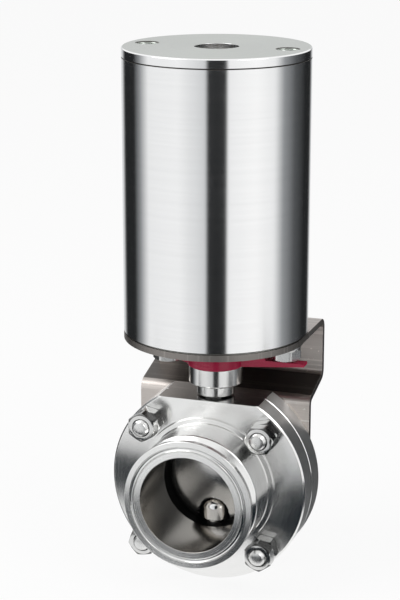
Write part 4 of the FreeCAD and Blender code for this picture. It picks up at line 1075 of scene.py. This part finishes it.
class VALVE_OT_spring(bpy.types.Operator):
    """Wind the return spring between lower cap and piston"""
    bl_idname = "valve.spring"
    bl_label = "Return spring"

    def execute(self, context):
        low, high = levels_of("return_spring")
        wire, radius, turns, stroke = 2.8, 36.2, 6.0, 30.0
        section = eased([(x, y, 0.5) for x, y in box_outline(wire, wire)], 3)
        coil = wound(section, (radius, low + wire), 432, 0.0, 360 * turns, high - low - 2 * wire)
        piece = new_object("return_spring_coil", coil)
        finished(piece, "spring", "piston_group", "return_spring")
        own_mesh(piece)
        return {"FINISHED"}


# Frame nodes that keep their own shape

KEPT_NODES = {
    "cap": ("bottom_cap",),
    "fastener": ("guide_rods", "tie_screws", "pointer_screw", "coupling_screw", "cross_pin",
                 "cam_rollers"),
    "shaft": ("output_shaft", "shaft_plug", "pin_retainer"),
    "aluminium": ("piston",),
    "bronze": ("upper_stem_bush", "lower_stem_bush", "lower_shaft_bush", "upper_shaft_bush",
               "thrust_washer"),
    "sintered": ("breather_plug",),
    "seal": ("bottom_cap_ring", "top_cap_ring", "shaft_wiper", "upper_shaft_seal", "piston_seal",
             "piston_inner_seal"),
    "bush": ("piston_wear_ring", "guide_bushes"),
}


class VALVE_OT_kept_nodes(bpy.types.Operator):
    """Give the frame's own inner pieces their finishes"""
    bl_idname = "valve.kept_nodes"
    bl_label = "Inner pieces"

    def execute(self, context):
        for finish, names in KEPT_NODES.items():
            for name in names:
                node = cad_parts[name]
                node.data.materials.clear()
                node.data.materials.append(FINISHES[finish])
        return {"FINISHED"}


# Studio

FLOOR = -0.0495
CAMERA_PLACE = Vector((0.268995, -0.760030, 0.324302))
CAMERA_AZIMUTH = 19.044
CAMERA_DIP = 15.467
AIM = Vector((0, 0.04, 0.08))
WHITE = (1.0, 1.0, 1.0)
# Angle from the camera's side, and paleness, along the card that stands round the valve
CARD_SHADES = ((-154.0, 0.75), (-140.0, 0.02), (-113.0, 0.018), (-101.0, 0.28), (-86.0, 0.88),
               (-45.0, 0.92), (-13.0, 0.66), (-10.4, 0.02), (10.6, 0.02), (12.2, 0.90), (45.0, 1.0),
               (70.0, 0.88), (84.0, 0.30), (104.0, 0.09), (128.0, 0.018), (146.0, 0.02), (160.0, 0.75))


def stage_piece(name, mesh, material, glossy_only=False):
    piece = linked(name, mesh)
    mesh.materials.append(material)
    if glossy_only:
        for rays in ("camera", "diffuse", "shadow", "transmission", "volume_scatter"):
            setattr(piece, "visible_" + rays, False)
    return piece


def floor_paint(tone):
    """Pale floor that shows as white to the camera and in the metal, with the object's shadow kept."""
    paint = Paint("pale_floor")
    matte = paint.add("BsdfDiffuse", {"Color": (tone, tone, tone)})
    return paint.shown(matte, paint.glow(WHITE), ("Camera", "Glossy"), 0.88)


def light_paint(ambient):
    """Even light all round that shows as white to the camera and in the metal."""
    paint = Paint("studio_light", light=True)
    even, bright = (paint.add("Background", {"Color": WHITE, "Strength": strength})
                    for strength in (ambient, 1.0))
    return paint.shown(even, bright, ("Camera", "Glossy", "Transmission"))


def dark_paint():
    """An even dark glow for a card seen only in reflections, as a painted dark reflection."""
    paint = Paint("dark_card")
    return paint.closed(paint.glow((0.010, 0.014, 0.018)))


def round_card_paint():
    """A glowing card, seen only in reflections, that paints the metal's light and dark reflections:
    white with a dark strip in front and on each rear side.
    """
    paint = Paint("round_card")
    x, y = paint.parts(paint.place())[:2]
    turn = x.joined("ARCTAN2", y) * (-0.5 / math.pi) + 0.5
    stops = [(0.5 + angle / 360.0, (shade * (0.95 + 0.05 * shade), shade, shade * (1.05 - 0.05 * shade)))
             for angle, shade in CARD_SHADES]
    return paint.closed(paint.glow(paint.ramp(turn, stops)))


def round_card(near=60.0, far=420.0, high=330.0, steps=180):
    """Bend a card right round the valve, along the floor and then up."""
    spots = [(reach * math.sin(turn), reach * math.cos(turn), level)
             for reach, level in ((near, 0.0), (far, 0.0), (far, high)) for turn in even_turns(steps)]
    return skin(spots, steps, "open")


# Corners of the dark card on the floor in front of the valve, its far edge turned; it is seen only in
# reflections, as a painted dark reflection
LYING_CARD = ((-350.0, 64.0), (350.0, 64.0), (350.0, 93.0), (-350.0, 213.0))


def flat_card(corners):
    return mesh_from([(x, y, 0.0) for x, y in corners], [(0, 1, 2, 3)])


def lamp(name, place, width, height, power):
    light = bpy.data.lights.new(name, "AREA")
    light.shape = "RECTANGLE"
    light.size, light.size_y = width, height
    light.energy = power
    item = linked(name, light)
    item.location = place
    item.rotation_euler = (AIM - Vector(place)).to_track_quat("-Z", "Y").to_euler()


class VALVE_OT_studio(bpy.types.Operator):
    """Set the floor, the even light, the lamps, the dark cards and the camera"""
    bl_idname = "valve.studio"
    bl_label = "Studio"

    def execute(self, context):
        scene = context.scene
        studio = scene.valve_studio
        floor = stage_piece("studio_floor", flat_card(box_outline(20000, 20000)),
                            floor_paint(studio.floor_tone))
        floor.location.z = FLOOR
        # Both cards glow and are seen only in reflections, where they paint light and dark reflections
        # on the metal
        for level, name, card, paint in ((0.0003, "round_card", round_card(), round_card_paint()),
                                         (0.0006, "floor_card", flat_card(LYING_CARD), dark_paint())):
            piece = stage_piece(name, card, paint, glossy_only=True)
            piece.location = (0, CENTRE.y, FLOOR + level)
            piece.rotation_euler = (0, 0, math.radians(180 + CAMERA_AZIMUTH))
        scene.world = light_paint(studio.ambient)
        lamp("key_lamp", (-0.9, -0.7, 1.1), 0.9, 0.9, studio.key_power)
        lamp("fill_lamp", (1.0, -0.4, 0.8), 0.7, 0.9, studio.key_power * 0.4)
        data = bpy.data.cameras.new("camera")
        data.lens = studio.lens
        data.sensor_width = 36.0
        camera = linked("camera", data)
        camera.location = CAMERA_PLACE
        camera.rotation_euler = (math.radians(90 - CAMERA_DIP), 0, math.radians(CAMERA_AZIMUTH))
        scene.camera = camera
        scene.view_settings.view_transform = "Standard"
        return {"FINISHED"}


PIECE_OPERATORS = (
    VALVE_OT_body_halves, VALVE_OT_seat, VALVE_OT_disc, VALVE_OT_flange_bolts, VALVE_OT_nuts,
    VALVE_OT_mount_fasteners, VALVE_OT_bracket, VALVE_OT_tube, VALVE_OT_top_cap, VALVE_OT_coupling,
    VALVE_OT_pointer, VALVE_OT_spring, VALVE_OT_kept_nodes, VALVE_OT_studio,
)
GROUPS = {"valve_sizes": ValveSizes, "valve_finishes": ValveFinishes, "valve_studio": ValveStudio}


class VALVE_PT_pieces(bpy.types.Panel):
    """The valve's sizes, finishes and pieces"""
    bl_idname = "VALVE_PT_pieces"
    bl_label = "Butterfly valve"
    bl_space_type = "VIEW_3D"
    bl_region_type = "UI"
    bl_category = "Valve"

    def draw(self, context):
        layout = self.layout
        for name, group in GROUPS.items():
            column = layout.column(align=True)
            for key in group.__annotations__:
                column.prop(getattr(context.scene, name), key)
        for operator in PIECE_OPERATORS:
            layout.operator(operator.bl_idname)


CLASSES = (*GROUPS.values(), *PIECE_OPERATORS, VALVE_PT_pieces)


def register():
    for item in CLASSES:
        bpy.utils.register_class(item)
    for name, group in GROUPS.items():
        setattr(bpy.types.Scene, name, PointerProperty(type=group))


def unregister():
    for name in GROUPS:
        delattr(bpy.types.Scene, name)
    for item in reversed(CLASSES):
        bpy.utils.unregister_class(item)


def main():
    """Build every piece and the studio."""
    register()
    mix_finishes(bpy.context.scene.valve_finishes)
    for operator in PIECE_OPERATORS:
        group, name = operator.bl_idname.split(".")
        getattr(getattr(bpy.ops, group), name)()
    bpy.context.view_layer.update()


if __name__ == "__main__":
    main()
